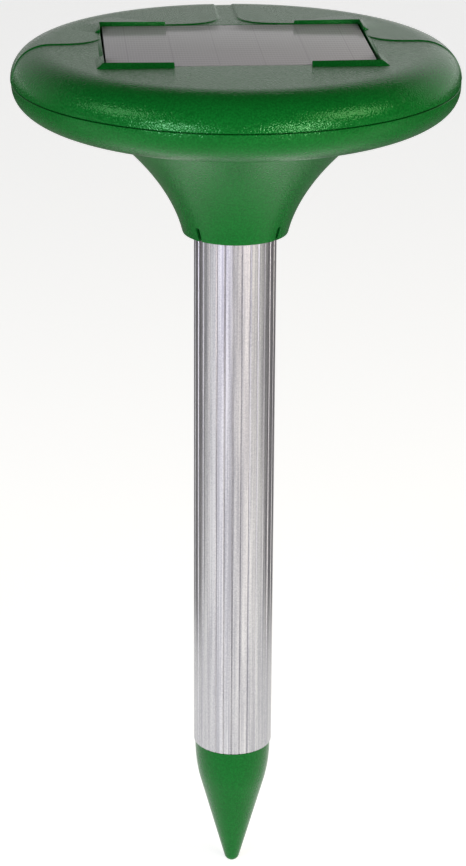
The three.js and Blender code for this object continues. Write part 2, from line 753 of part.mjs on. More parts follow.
// Three rechargeable cells side by side, the middle one the other way round.
function batteryMeshes() {
  const meshes = [];
  const half = CELL.length / 2;
  const nubZ = half + CELL.nub;
  const profile = [[0, -half], [CELL.radius, -half], [CELL.radius, half], [CELL.nubRadius, half]];
  const standing = revolve([...profile, [CELL.nubRadius, nubZ], [0, nubZ]], SMALL_FACETS);
  const cell = standing.rotate([0, 90, 0]);
  const helix = new Helix(SPRING.radius, -SPRING.length, SPRING.turns);
  const spring = swept(helix, SPRING.wire, 27, 4);
  for (let i = 0; i < 3; i += 1) {
    const turn = i === 1 ? Math.PI : 0;
    const y = CELL.firstY + i * CELL.pitch;
    const shift = i === 1 ? -1.6 : 1.6;
    const springX = (i === 1 ? 1 : -1) * (half - 1.6 + 0.7);
    meshes.push(placed(part(`battery_cell_${i + 1}`, cellSleeve, cell), shift, y, CELL.z, turn));
    meshes.push(placed(part(`battery_spring_${i + 1}`, springWire, spring), springX, y, CELL.z, turn));
  }
  return meshes;
}

// Contact plates: each end of the tray has one plate for a single cell and one that joins two.
function contactMeshes() {
  const { inner, thickness, half } = CONTACT;
  const joinedCells = [[-1, 0, 0], [-1, 1, 2], [1, 0, 1], [1, 2, 2]];
  return joinedCells.map(([side, first, last], i) => {
    const spanX = span(side * inner, side * (inner + thickness));
    const spanY = [CELL.firstY + first * CELL.pitch - half, CELL.firstY + last * CELL.pitch + half];
    const plate = box(spanX, spanY, [CELL.z - half, CELL.z + half]);
    return part(`contact_plate_${i + 1}`, steel, plate);
  });
}

function traySolid() {
  const { halfX, y, low, top, wall, plate } = TRAY;
  const outer = box([-halfX, halfX], y, [low, top]);
  const room = box([wall - halfX, halfX - wall], [y[0] + wall, y[1] - wall], [low - 1, top - plate]);
  return outer.subtract(room);
}

// Push switch over the power button: the body stands on the guide ring, the plunger slides.
function switchMeshes() {
  const { half, low, height, bore } = SWITCH;
  const { flangeRadius, flangeLow, flangeHigh, stem, top } = BUTTON_SHAPE;
  const body = cut(
    box([-half, half], [-half, half], [low, low + height]),
    rod(bore, low - 1, low + height - 2),
  );
  const plunger = rod(SWITCH.plunger, SWITCH.plungerLow, low + 2.5);
  const button = revolve([
    [0, BUTTON.low],
    [BUTTON.radius - 0.8, BUTTON.low],
    [BUTTON.radius, BUTTON.low + 0.8],
    [BUTTON.radius, flangeLow],
    [flangeRadius, flangeLow],
    [flangeRadius, flangeHigh],
    [stem, flangeHigh],
    [stem, top],
    [0, top],
  ], SMALL_FACETS);
  const { outer, low: sealLow, high: sealHigh } = BUTTON_SEAL;
  const seal = ring(BUTTON.radius + GAP, outer, sealLow, sealHigh, SMALL_FACETS);
  return [
    placed(part('switch_body', blackPlastic, body), 0, BUTTON.y, 0),
    placed(part('switch_plunger', whiteNylon, plunger), 0, BUTTON.y, 0),
    placed(part('power_button', blackRubber, button), 0, BUTTON.y, 0),
    placed(part('button_seal', blackRubber, seal), 0, BUTTON.y, 0),
  ];
}

// Disc on top of the socket that carries the plug for the speaker lead.
function neckPlugMeshes() {
  const low = SOCKET.top + GAP;
  const { hole, thickness } = PLUG_HOLDER;
  const holder = ring(hole, SOCKET.radius - 0.5, low, low + thickness, STAKE_FACETS);
  const flangeLow = low + thickness + GAP;
  const flangeHigh = flangeLow + PLUG_FLANGE.height;
  const plug = revolve([
    [0, PLUG.tipLow],
    [PLUG.tipRadius, PLUG.tipLow],
    [PLUG.pin, PLUG.tipLow + 1.3],
    [PLUG.pin, PLUG.bodyLow],
    [PLUG.body, PLUG.bodyLow],
    [PLUG.body, flangeLow],
    [PLUG_FLANGE.radius, flangeLow],
    [PLUG_FLANGE.radius, flangeHigh],
    [0, flangeHigh],
  ], SMALL_FACETS);
  return [part('plug_holder', blackPlastic, holder), part('jack_plug', steel, plug)];
}

// Short hook-up wires, each from its source to its header on the board.
function leadMeshes() {
  const meshes = [];
  const pair = (name, header, route) => {
    const x = HEADERS.x[header];
    const whole = [...route, [x, HEADERS.y, WIRE.startZ - 2.5], [x, HEADERS.y, WIRE.startZ]];
    [['red', redWire, 1], ['black', blackWire, -1]].forEach(([tint, material, side]) => {
      const wire = wireAlong(besideRoute(whole, side * WIRE.spacing));
      meshes.push(part(`${name}_lead_${tint}`, material, wire));
    });
  };
  pair('battery', 0, [
    [-26, 4, -10.8],
    [-25, -4, -12.8],
    [-18, -16, -13.6],
  ]);
  pair('neck', 1, [
    [0, 0, SOCKET.top + 5.6],
    [0, -1, -22],
    [-1, -6, -18],
    [-3, -16, -15],
  ]);
  pair('switch', 2, [
    [-8, 58.5, -3],
    [-24, 56, -6],
    [-38, 45, -9],
    [-39, 10, -9.5],
    [-32, -36, -9.5],
    [-6, -38, -11],
    [4, -32, -11],
  ]);
  pair('panel', 3, [
    [LEAD_HOLE.x, LEAD_HOLE.y, PANEL.top - 3.2],
    [36, -12.5, 2],
    [34, -14, -6],
    [24, -21, -11.5],
  ]);
  return meshes;
}

function headGroup() {
  const group = new THREE.Group();
  group.add(
    part('top_cover', greenPlastic, topCoverSolid()),
    part('lower_cover', greenPlastic, lowerCoverSolid()),
    part('rim_seal', blackRubber, rimSealSolid()),
    ...panelMeshes(),
    ...boardMeshes(),
    part('battery_tray', blackPlastic, traySolid()),
    ...batteryMeshes(),
    ...contactMeshes(),
    ...switchMeshes(),
    ...neckPlugMeshes(),
    ...leadMeshes(),
  );
  screwPlaces().forEach(([x, y], i) => {
    const screw = part(`cover_screw_${i + 1}`, steel, screwSolid(SCREW.length));
    group.add(placed(screw, x, y, SCREW.headLow));
  });
  group.position.z = PARTING_Z;
  return group;
}

// ---- The whole repeller -------------------------------------------------------------------

const repeller = new THREE.Group();
repeller.add(stakeGroup(), headGroup());

export default repeller;
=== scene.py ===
# %% [markdown]
# # A solar ground stake with a speaker
# The object is a round green head with a solar panel in its top, a grooved aluminium tube,
# and a plastic spike that is pushed into the lawn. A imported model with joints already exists,
# so this script loads it as a fixed frame and makes the finished look around it.
# Everything is in metres in the frame's own axes: +Z is up and the spike's tip is the origin.

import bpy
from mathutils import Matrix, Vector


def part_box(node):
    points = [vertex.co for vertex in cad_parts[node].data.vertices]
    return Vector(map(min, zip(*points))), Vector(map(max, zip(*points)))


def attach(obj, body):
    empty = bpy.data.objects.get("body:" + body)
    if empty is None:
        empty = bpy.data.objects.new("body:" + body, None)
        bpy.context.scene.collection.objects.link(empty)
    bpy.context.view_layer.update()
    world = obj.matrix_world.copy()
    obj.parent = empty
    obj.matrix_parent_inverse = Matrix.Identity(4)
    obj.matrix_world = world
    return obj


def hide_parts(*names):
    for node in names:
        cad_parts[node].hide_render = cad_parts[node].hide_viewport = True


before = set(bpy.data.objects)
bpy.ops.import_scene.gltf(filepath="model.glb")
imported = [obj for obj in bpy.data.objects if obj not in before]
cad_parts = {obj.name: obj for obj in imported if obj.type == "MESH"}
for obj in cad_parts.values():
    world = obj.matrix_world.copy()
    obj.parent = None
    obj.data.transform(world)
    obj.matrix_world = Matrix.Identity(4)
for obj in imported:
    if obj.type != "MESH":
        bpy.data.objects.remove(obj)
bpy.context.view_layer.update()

# %% [markdown]
# ## Units
# Blender counts in metres, and a maker of small moulded pieces thinks in millimetres. Sizes
# are written in millimetres here, and `MM` turns them to metres where a mesh is made.

# %% Modules and units
import math

import bmesh
import bpy
import numpy as np
from mathutils import Euler, Matrix, Vector
from mathutils.geometry import delaunay_2d_cdt

MM = 0.001
scene = bpy.context.scene
scene.view_settings.view_transform = "Standard"

# %% [markdown]
# ## Sizes
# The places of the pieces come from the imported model. What a box can't tell, such as how a
# rim rounds over, is kept here as named sizes in millimetres. Heights in the head are
# measured from the parting plane, where its two covers meet.


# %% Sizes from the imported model
def box_mm(node):
    low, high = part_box(node)
    return low / MM, high / MM


JOINT_GAP = 0.4
PARTING = box_mm("lower_cover")[1].z + JOINT_GAP / 2
TUBE_LOW, TUBE_HIGH = (corner.z for corner in box_mm("tube"))
TUBE_RADIUS = 15.0
PANEL_X, PANEL_Y = box_mm("panel_cover_sheet")[1].xy
PANEL_TOP = box_mm("panel_cover_sheet")[1].z
PANEL_BACK = box_mm("solar_cells")[0].z
PANEL_MIDDLE = sum(corner.y for corner in box_mm("panel_cover_sheet")) / 2
print("parting plane at", round(PARTING, 2), "mm, panel", round(2 * PANEL_X, 1), "x", round(2 * PANEL_Y, 1))

# %% Sizes of the head
RIM_RADIUS = 80.0
OVERHANG = 0.25
TOP = 11.9
RAISED = 0.4
RIM_START = 65.0
RIM_POWER = 2.2
WALL = 2.4
UNDERSIDE = -14.8
UNDERSIDE_START = 48.4
UNDERSIDE_POWER = 2.42
NECK_TOP = 50.6
COLLAR_RADIUS, COLLAR_BORE, COLLAR_BOTTOM = 19.3, 15.3, -56.5
SOCKET_RADIUS, SOCKET_TOP, LIP_RADIUS, LIP_LOW = 17.3, -29.5, 12.8, -32.2
POCKET_FLOOR_NECK = -46.5
POCKET_X, POCKET_Y = 47.55, 32.3
POCKET_FLOOR = box_mm("panel_gasket")[0].z - 0.3 - PARTING
TONGUE_INNER, TONGUE_OUTER = 77.2, 78.6
SCREW_CIRCLE = 64.0
SCREW_REACH = SCREW_CIRCLE * math.sqrt(0.5)
BUTTON_Y = 62.0
print("head", 2 * RIM_RADIUS, "mm across")

# %% [markdown]
# ## Solids from numbers
# Most pieces of this object were turned or moulded round an axis, so a list of radius and
# height points is the natural way to describe them. `turned` spins such a list into a closed
# mesh. It works out which way round the list runs, so the faces always point outwards, and
# a point on the axis becomes one vertex, so a pole never stays open.


# %% Turned and block solids
def solid(name, points, faces):
    mesh = bpy.data.meshes.new(name)
    mesh.from_pydata([Vector(point) * MM for point in points], [], faces)
    piece = bpy.data.objects.new(name, mesh)
    scene.collection.objects.link(piece)
    return piece


def turned(name, profile, segments, centre=(0.0, 0.0)):
    loop = [tuple(point) for point in profile]
    following = loop[1:] + loop[:1]
    if sum(a[0] * b[1] - b[0] * a[1] for a, b in zip(loop, following)) < 0:
        loop.reverse()
    points, rows = [], []
    for radius, height in loop:
        steps = 1 if radius == 0 else segments
        rows.append(range(len(points), len(points) + steps))
        for j in range(steps):
            angle = 2 * math.pi * j / segments
            across = centre[0] + radius * math.cos(angle)
            along = centre[1] + radius * math.sin(angle)
            points.append((across, along, height))
    faces = []
    for low, high in zip(rows, rows[1:] + rows[:1]):
        if len(low) == len(high) == 1:
            continue
        for j in range(segments):
            k = (j + 1) % segments
            corners = [low[j % len(low)], low[k % len(low)], high[k % len(high)], high[j % len(high)]]
            faces.append(list(dict.fromkeys(corners)))
    return solid(name, points, faces)


def block(name, low, high, bevel=0.0):
    piece = solid(name, [(0, 0, 0)], [])
    box = bmesh.new()
    bmesh.ops.create_cube(box, size=1)
    for vertex in box.verts:
        corner = [high[i] if vertex.co[i] > 0 else low[i] for i in range(3)]
        vertex.co = Vector(corner) * MM
    if bevel:
        bmesh.ops.bevel(box, geom=box.edges[:], offset=bevel * MM, segments=3, profile=0.5, affect="EDGES")
    box.to_mesh(piece.data)
    box.free()
    return piece


# %% [markdown]
# A moulded or turned edge is never knife sharp. `softened` walks along a profile and swaps
# each hard corner for a small curve, which is what catches the light on the real pieces.


# %% Soft corners and curves
def softened(profile, radius, steps=3):
    loop = [Vector(point) for point in profile]
    result = []
    for i, here in enumerate(loop):
        to_last = loop[i - 1] - here
        to_next = loop[(i + 1) % len(loop)] - here
        if here.x == 0 or to_last.length == 0 or to_next.length == 0:
            result.append(here)
            continue
        turn = math.pi - to_last.angle(to_next)
        if turn < math.radians(30):
            result.append(here)
            continue
        start = here + to_last.normalized() * min(radius, to_last.length / 3)
        end = here + to_next.normalized() * min(radius, to_next.length / 3)
        for k in range(steps + 1):
            share = k / steps
            result.append(start.lerp(here, share).lerp(here.lerp(end, share), share))
    return result


def bezier(a, b, c, d, steps):
    a, b, c, d = (Vector(point) for point in (a, b, c, d))
    shares = [k / steps for k in range(steps + 1)]
    return [
        a * (1 - s) ** 3 + b * 3 * s * (1 - s) ** 2 + c * 3 * s * s * (1 - s) + d * s**3
        for s in shares
    ]


def rounded_rim(start, end, height, power, steps, share=1.0):
    """A quarter superellipse: flat at radius start, upright at radius end."""
    points = []
    for i in range(steps + 1):
        angle = math.pi / 2 * share * i / steps
        radius = start + (end - start) * math.sin(angle) ** (2 / power)
        points.append((radius, height * math.cos(angle) ** (2 / power)))
    return points


def raised_to(profile, height):
    return [(radius, z + height) for radius, z in profile]


# %% [markdown]
# Walls, pockets and holes are made by joining and cutting solids, as a mould maker would
# think of them. Every cutter is removed once its shape has been taken.


# %% Join and cut
def combined(piece, operation, others):
    for other in others:
        step = piece.modifiers.new("step", "BOOLEAN")
        step.operation = operation
        step.object = other
        step.solver = "MANIFOLD"
    evaluated = piece.evaluated_get(bpy.context.evaluated_depsgraph_get())
    mesh = bpy.data.meshes.new_from_object(evaluated)
    piece.modifiers.clear()
    piece.data = mesh
    for other in others:
        bpy.data.objects.remove(other)
    return piece


def smoothed(piece, material, angle=30.0):
    piece.data.materials.clear()
    piece.data.materials.append(material)
    piece.data.shade_smooth()
    piece.data.set_sharp_from_angle(angle=math.radians(angle))
    check = bmesh.new()
    check.from_mesh(piece.data)
    open_edges = sum(not edge.is_manifold for edge in check.edges)
    volume = check.calc_volume(signed=True) / MM**3
    check.free()
    print(piece.name, len(piece.data.polygons), "faces,", open_edges, "open edges,", round(volume), "mm3")
    return piece


# %% [markdown]
# ## Finishes
# A colour is written as a sRGB hex value, as on a paint chart, and turned to the linear value
# that the shader works with. `add` puts one node in a tree with its settings and links. A
# noise texture has nearly all its values between 0.3 and 0.7, so those are the ends that a
# grain is mapped from.


# %% Colour and node helpers
NOISE_LOW, NOISE_HIGH = 0.3, 0.7


def linear(hex_colour):
    parts = [int(hex_colour[i : i + 2], 16) / 255 for i in (1, 3, 5)]
    return [p / 12.92 if p <= 0.04045 else ((p + 0.055) / 1.055) ** 2.4 for p in parts] + [1.0]


def add(tree, kind, values=None, **settings):
    node = tree.nodes.new(kind)
    for name, value in settings.items():
        setattr(node, name, value)
    for socket, value in (values or {}).items():
        if isinstance(value, bpy.types.NodeSocket):
            tree.links.new(value, node.inputs[socket])
        else:
            node.inputs[socket].default_value = value
    return node


def new_finish(name, colour, roughness, metallic=0.0):
    material = bpy.data.materials.new(name)
    material.use_nodes = True
    material.diffuse_color = linear(colour)
    tree = material.node_tree
    shader = tree.nodes["Principled BSDF"]
    shader.inputs["Base Color"].default_value = linear(colour)
    shader.inputs["Roughness"].default_value = roughness
    shader.inputs["Metallic"].default_value = metallic
    return material, tree, shader


# %% [markdown]
# ### Moulded green ABS
# The covers and the spike are injection moulded in ABS that is coloured all through. The mould
# is spark eroded, which leaves a fine, even grain of small pits about 0.6 mm apart. The grain
# breaks each highlight into a soft sparkle, so it drives the bump, the roughness and the
# lightness. A much larger and very weak cloud stands for the flow of the pigment. Plain ABS
# has an IOR near 1.54. A lower one and a green tint give the weaker, greener sheen that a
# pitted skin has.

# %% Green ABS
GRAIN = 0.6
PIT_DEPTH = 0.125
FLOW = 22.0


def make_green_abs():
    material, tree, shader = new_finish("spark_eroded_green_abs", "#095a1e", 0.2)
    place = add(tree, "ShaderNodeTexCoord").outputs["Object"]
    pits = add(tree, "ShaderNodeTexNoise", {"Vector": place, "Scale": 1 / (GRAIN * MM), "Detail": 0.0})
    flow = add(tree, "ShaderNodeTexNoise", {"Vector": place, "Scale": 1 / (FLOW * MM), "Detail": 2.0})
    tint = add(
        tree,
        "ShaderNodeMix",
        {0: flow.outputs["Fac"], 6: linear("#07551a"), 7: linear("#0a5d20")},
        data_type="RGBA",
    )
    pitted = {"Value": pits.outputs["Fac"], "From Min": NOISE_LOW, "From Max": NOISE_HIGH}
    speck = add(tree, "ShaderNodeMapRange", {**pitted, "To Min": 0.82, "To Max": 1.16})
    toned = add(
        tree,
        "ShaderNodeVectorMath",
        {0: tint.outputs[2], "Scale": speck.outputs["Result"]},
        operation="SCALE",
    )
    gloss = add(tree, "ShaderNodeMapRange", {**pitted, "To Min": 0.16, "To Max": 0.26})
    depth = {"Height": pits.outputs["Fac"], "Strength": 1.0, "Distance": PIT_DEPTH * MM}
    bump = add(tree, "ShaderNodeBump", depth)
    tree.links.new(toned.outputs["Vector"], shader.inputs["Base Color"])
    tree.links.new(gloss.outputs["Result"], shader.inputs["Roughness"])
    tree.links.new(bump.outputs["Normal"], shader.inputs["Normal"])
    shader.inputs["IOR"].default_value = 1.37
    shader.inputs["Specular Tint"].default_value = (0.36, 1.0, 0.44, 1.0)
    return material


green_abs = make_green_abs()
print("made", green_abs.name)

# %% [markdown]
# ### Satin anodised aluminium
# The tube is extruded, so the die leaves very fine straight lines along its length, and a
# clear anodised layer gives it a satin, slightly cool sheen. The lines are a noise stretched
# along Z, 0.6 mm wide and 60 mm long, which is coarser than real die lines, so that they
# show. A second, even grain is the etch that is done before anodising.

# %% Anodised aluminium
DIE_LINE = 0.6
DIE_RUN = 60.0
ETCH = 0.55
ETCH_SHARE = 0.5
ETCH_DEPTH = 0.05


def make_anodised_aluminium():
    material, tree, shader = new_finish("satin_anodised_aluminium", "#cfd1d6", 0.34, 1.0)
    place = add(tree, "ShaderNodeTexCoord").outputs["Object"]
    stretch = (1 / (DIE_LINE * MM), 1 / (DIE_LINE * MM), 1 / (DIE_RUN * MM))
    run = add(tree, "ShaderNodeMapping", {"Vector": place, "Scale": stretch})
    lines = add(tree, "ShaderNodeTexNoise", {"Vector": run.outputs["Vector"], "Scale": 1.0, "Detail": 2.0})
    etch = add(tree, "ShaderNodeTexNoise", {"Vector": place, "Scale": 1 / (ETCH * MM), "Detail": 2.0})
    blend = add(
        tree,
        "ShaderNodeMath",
        {0: etch.outputs["Fac"], 1: ETCH_SHARE, 2: lines.outputs["Fac"]},
        operation="MULTIPLY_ADD",
    )
    both = {"Value": blend.outputs[0], "From Min": 0.6, "From Max": 0.9}
    etched = add(tree, "ShaderNodeMapRange", both)
    tint = add(
        tree,
        "ShaderNodeMix",
        {0: etched.outputs["Result"], 6: linear("#aaaab0"), 7: linear("#cececf")},
        data_type="RGBA",
    )
    drawn = {"Value": lines.outputs["Fac"], "From Min": NOISE_LOW, "From Max": NOISE_HIGH}
    gloss = add(tree, "ShaderNodeMapRange", {**drawn, "To Min": 0.28, "To Max": 0.4})
    depth = {"Height": blend.outputs[0], "Strength": 0.2, "Distance": ETCH_DEPTH * MM}
    bump = add(tree, "ShaderNodeBump", depth)
    tree.links.new(tint.outputs[2], shader.inputs["Base Color"])
    tree.links.new(gloss.outputs["Result"], shader.inputs["Roughness"])
    tree.links.new(bump.outputs["Normal"], shader.inputs["Normal"])
    return material


anodised_aluminium = make_anodised_aluminium()
print("made", anodised_aluminium.name)

# %% [markdown]
# ### The solar laminate
# A small garden panel is silicon under a clear film. Bare silicon is dark, and the soft grey of
# the base colour is a painted sheen: it stands in for the film's mirror of the pale backdrop
# at this low angle. Very thin silver fingers collect the current. They are 0.12 mm wide
# and 1 mm apart one way, broader bars cross them every 3.2 mm, and every 15.6 mm a gap
# divides one cell from the next. The lines are drawn by remainders of the place on the panel,
# so they stay as sharp as the render. A clear coat of half weight over the matt base gives
# the panel the weak mirror of its film at a low angle.

# %% Solar laminate
FINGER_PITCH = 1.0
FINGER = 0.12
BAR_PITCH = 3.2
BAR = 0.7
CELL_PITCH = 15.6
CELL_GAP = 0.35
CRYSTAL = 9.0


def make_solar_laminate():
    material, tree, shader = new_finish("laminated_silicon_cells", "#6a6870", 0.5)
    place = add(tree, "ShaderNodeTexCoord").outputs["Object"]
    axes = add(tree, "ShaderNodeSeparateXYZ", {"Vector": place})

    def stripe(axis, pitch, width):
        """1 on a line of that width at each whole pitch along the axis."""
        half_gap = (pitch - width) / 2 * MM
        shifted = add(tree, "ShaderNodeMath", {0: axes.outputs[axis], 1: half_gap}, operation="ADD")
        steps = {0: shifted.outputs[0], 1: pitch * MM}
        along = add(tree, "ShaderNodeMath", steps, operation="FLOORED_MODULO")
        limit = {0: along.outputs[0], 1: (pitch - width) * MM}
        return add(tree, "ShaderNodeMath", limit, operation="GREATER_THAN").outputs[0]

    fingers = add(
        tree,
        "ShaderNodeMath",
        {0: stripe("X", FINGER_PITCH, FINGER), 1: stripe("Y", BAR_PITCH, BAR)},
        operation="MAXIMUM",
    )
    gap = stripe("X", CELL_PITCH, CELL_GAP)
    crystal = add(tree, "ShaderNodeTexNoise", {"Vector": place, "Scale": 1 / (CRYSTAL * MM), "Detail": 1.0})
    # The cells' light grey is painted sheen, lighter than bare silicon, in place of the film's reflection
    # of the backdrop; the fingers and gaps are set on that same lightened grey.
    cell = add(
        tree,
        "ShaderNodeMix",
        {0: crystal.outputs["Fac"], 6: linear("#9d9aa3"), 7: linear("#a4a1aa")},
        data_type="RGBA",
    )
    lined = add(
        tree,
        "ShaderNodeMix",
        {0: fingers.outputs[0], 6: cell.outputs[2], 7: linear("#b4b1ba")},
        data_type="RGBA",
    )
    divided = add(
        tree,
        "ShaderNodeMix",
        {0: gap, 6: lined.outputs[2], 7: linear("#9a97a0")},
        data_type="RGBA",
    )
    tree.links.new(divided.outputs[2], shader.inputs["Base Color"])
    shader.inputs["IOR"].default_value = 1.3
    shader.inputs["Coat Weight"].default_value = 0.5
    shader.inputs["Coat IOR"].default_value = 1.42
    shader.inputs["Coat Roughness"].default_value = 0.12
    return material


solar_laminate = make_solar_laminate()
print("made", solar_laminate.name)

# %% [markdown]
# ### Everything else
# The remaining pieces are moulded, pressed or drawn, and each finish is one row of a table:
# base colour, metallic, roughness, the size of its surface grain in millimetres and how deep
# the grain is. A noise of that size varies the colour and the roughness and gives a bump.

# %% Table of the plainer finishes
PLAIN_FINISHES = {
    "black_rubber": ("moulded_black_rubber", "#1c1c1e", 0.0, 0.72, 0.5, 0.03),
    "black_plastic": ("moulded_black_abs", "#242528", 0.0, 0.5, 0.7, 0.02),
    "white_nylon": ("moulded_white_nylon", "#e2e0d8", 0.0, 0.45, 1.2, 0.01),
    "circuit_board": ("green_solder_resist", "#1b6a44", 0.0, 0.38, 2.5, 0.01),
    "steel": ("zinc_plated_steel", "#b9bcc0", 1.0, 0.32, 0.8, 0.01),
    "spring_wire": ("nickel_plated_wire", "#a9adb3", 1.0, 0.3, 0.4, 0.01),
    "cell_sleeve": ("shrink_sleeve_blue", "#2d6fb3", 0.0, 0.32, 6.0, 0.03),
    "ferrite": ("sintered_ferrite", "#38393c", 0.0, 0.65, 0.3, 0.03),
    "cone_film": ("pressed_cone_film", "#cfc9b4", 0.0, 0.42, 1.5, 0.02),
    "red_wire": ("red_pvc_insulation", "#b3211d", 0.0, 0.45, 1.0, 0.01),
    "black_wire": ("black_pvc_insulation", "#1f1f21", 0.0, 0.45, 1.0, 0.01),
}
GLOSS_SPREAD = 0.05


def make_plain_finish(name, colour, metallic, roughness, grain, depth):
    material, tree, shader = new_finish(name, colour, roughness, metallic)
    place = add(tree, "ShaderNodeTexCoord").outputs["Object"]
    grains = add(tree, "ShaderNodeTexNoise", {"Vector": place, "Scale": 1 / (grain * MM), "Detail": 3.0})
    grained = {"Value": grains.outputs["Fac"], "From Min": NOISE_LOW, "From Max": NOISE_HIGH}
    shade = add(tree, "ShaderNodeMapRange", {**grained, "To Min": 0.9, "To Max": 1.08})
    toned = add(
        tree,
        "ShaderNodeVectorMath",
        {0: linear(colour)[:3], "Scale": shade.outputs["Result"]},
        operation="SCALE",
    )
    ends = {"To Min": roughness - GLOSS_SPREAD, "To Max": roughness + GLOSS_SPREAD}
    gloss = add(tree, "ShaderNodeMapRange", {**grained, **ends})
    deep = {"Height": grains.outputs["Fac"], "Strength": 0.4, "Distance": depth * MM}
    bump = add(tree, "ShaderNodeBump", deep)
    tree.links.new(toned.outputs["Vector"], shader.inputs["Base Color"])
    tree.links.new(gloss.outputs["Result"], shader.inputs["Roughness"])
    tree.links.new(bump.outputs["Normal"], shader.inputs["Normal"])
    return material


finishes = {slot: make_plain_finish(*row) for slot, row in PLAIN_FINISHES.items()}
finishes["green_abs"] = green_abs
finishes["anodised_aluminium"] = anodised_aluminium
finishes["silicon"] = solar_laminate
print("made", len(finishes), "finishes")

# %% [markdown]
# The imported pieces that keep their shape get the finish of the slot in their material's name.

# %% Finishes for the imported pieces
for name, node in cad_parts.items():
    slot = node.data.materials[0].name.split(".")[0]
    if slot in finishes:
        node.material_slots[0].material = finishes[slot]
    else:
        print("no finish for", name, "with", slot)

# %% [markdown]
# ## Top cover
# The cover is a shallow dome whose flat top rolls over into a round rim. Two areas at the
# back stand 0.4 mm proud, with a channel between them, and their front edges leave the panel
# in an S and sweep forward over the rim. So that these edges are truly smooth, the skin is
# drawn on an unrolled plan, where the distance from the centre is measured along the surface.
# Rings, edge lines and pocket lines are all drawn on that plan, a Delaunay triangulation
# fills in between them, and each point is then lifted to its place on the dome.

# %% Plan of the top
RIM_LENGTH = 23.0
RIM_END = math.acos((JOINT_GAP / 2 / TOP) ** (RIM_POWER / 2)) / (math.pi / 2)
PLAN_RADIUS = RIM_START + RIM_LENGTH * RIM_END
RIM_RINGS = 26
RIM_STEPS = 240
EDGE_OFFSETS = (-1.2, -0.4, -0.2, 0.0, 0.2, 0.4, 1.2)
POCKET_OFFSETS = (0.0, 0.08, 0.2, 0.4, 1.2)
POCKET_ROUND = 0.4
EDGE_WIDTH = 0.8
CHANNEL_HALF = 3.3
S_FOOT = 2.2


def on_plan(x, y):
    """Where a point seen from straight above lies on the unrolled plan."""
    radius = math.hypot(x, y)
    if radius <= RIM_START:
        return np.array([x, y])
    share = min((radius - RIM_START) / (RIM_RADIUS - RIM_START), 1.0)
    angle = math.asin(share ** (RIM_POWER / 2))
    rho = RIM_START + RIM_LENGTH * angle / (math.pi / 2)
    return np.array([x, y]) * rho / radius


def raised_edge():
    """Line round the raised area on the +X side, from the back rim to the side rim."""
    channel = [(CHANNEL_HALF, 79.99), (CHANNEL_HALF, 79.9)]
    channel += [(CHANNEL_HALF, 79.5 - 1.5 * i) for i in range(22)]
    mouth = bezier((CHANNEL_HALF, 46), (CHANNEL_HALF, 36), (10, POCKET_Y), (22, POCKET_Y), 24)
    under_panel = [(24, 24), (44, 22)]
    s_bend = bezier((46.55, 13), (49.5, 5), (54, S_FOOT), (62, S_FOOT), 24)
    sweep = bezier((62, S_FOOT), (74, S_FOOT), (77.5, 1), (80.5, -12), 70)[1:]
    plan = channel + mouth + under_panel + s_bend + sweep
    line = np.array([on_plan(x, y) for x, y in plan if math.hypot(x, y) < RIM_RADIUS])
    return line[np.hypot(*line.T) < PLAN_RADIUS - 0.05]


edge_line = raised_edge()
print("edge of a raised area drawn with", len(edge_line), "points")


# %% Offset lines and distances
def beside(line, distance):
    run = np.gradient(line, axis=0)
    left = np.column_stack((-run[:, 1], run[:, 0])) / np.hypot(*run.T)[:, None]
    return line + left * distance


def signed_distance(points, line):
    start, step = line[:-1], np.diff(line, axis=0)
    away = points[:, None] - start
    share = np.clip((away * step).sum(-1) / (step * step).sum(-1), 0, 1)
    gap = np.linalg.norm(away - share[..., None] * step, axis=-1)
    nearest = gap.argmin(1)
    rows = np.arange(len(points))
    near_step, near_away = step[nearest], away[rows, nearest]
    side = near_step[:, 0] * near_away[:, 1] - near_step[:, 1] * near_away[:, 0]
    return np.sign(side) * gap[rows, nearest]


def lifted(plan):
    """Points of the plan on the dome, with the raised areas and the pocket's round edge."""
    mirrored = np.column_stack((np.abs(plan[:, 0]), plan[:, 1]))
    share = np.clip(signed_distance(mirrored, edge_line) / EDGE_WIDTH + 0.5, 0, 1)
    share = share * share * (3 - 2 * share)
    rho = np.maximum(np.hypot(*plan.T), 1e-9)
    angle = np.clip((rho - RIM_START) / RIM_LENGTH, 0, 1) * math.pi / 2
    reach = RIM_RADIUS - OVERHANG * (1 - share) - RIM_START
    radius = np.where(angle > 0, RIM_START + reach * np.sin(angle) ** (2 / RIM_POWER), rho)
    height = (TOP + RAISED * share) * np.cos(angle) ** (2 / RIM_POWER)
    outside = np.maximum(np.abs(plan) - (POCKET_X, POCKET_Y), 0)
    near = np.clip(POCKET_ROUND - np.hypot(*outside.T), 0, POCKET_ROUND)
    height = height - (POCKET_ROUND - np.sqrt(POCKET_ROUND**2 - near**2))
    return np.column_stack((plan * (radius / rho)[:, None], height))


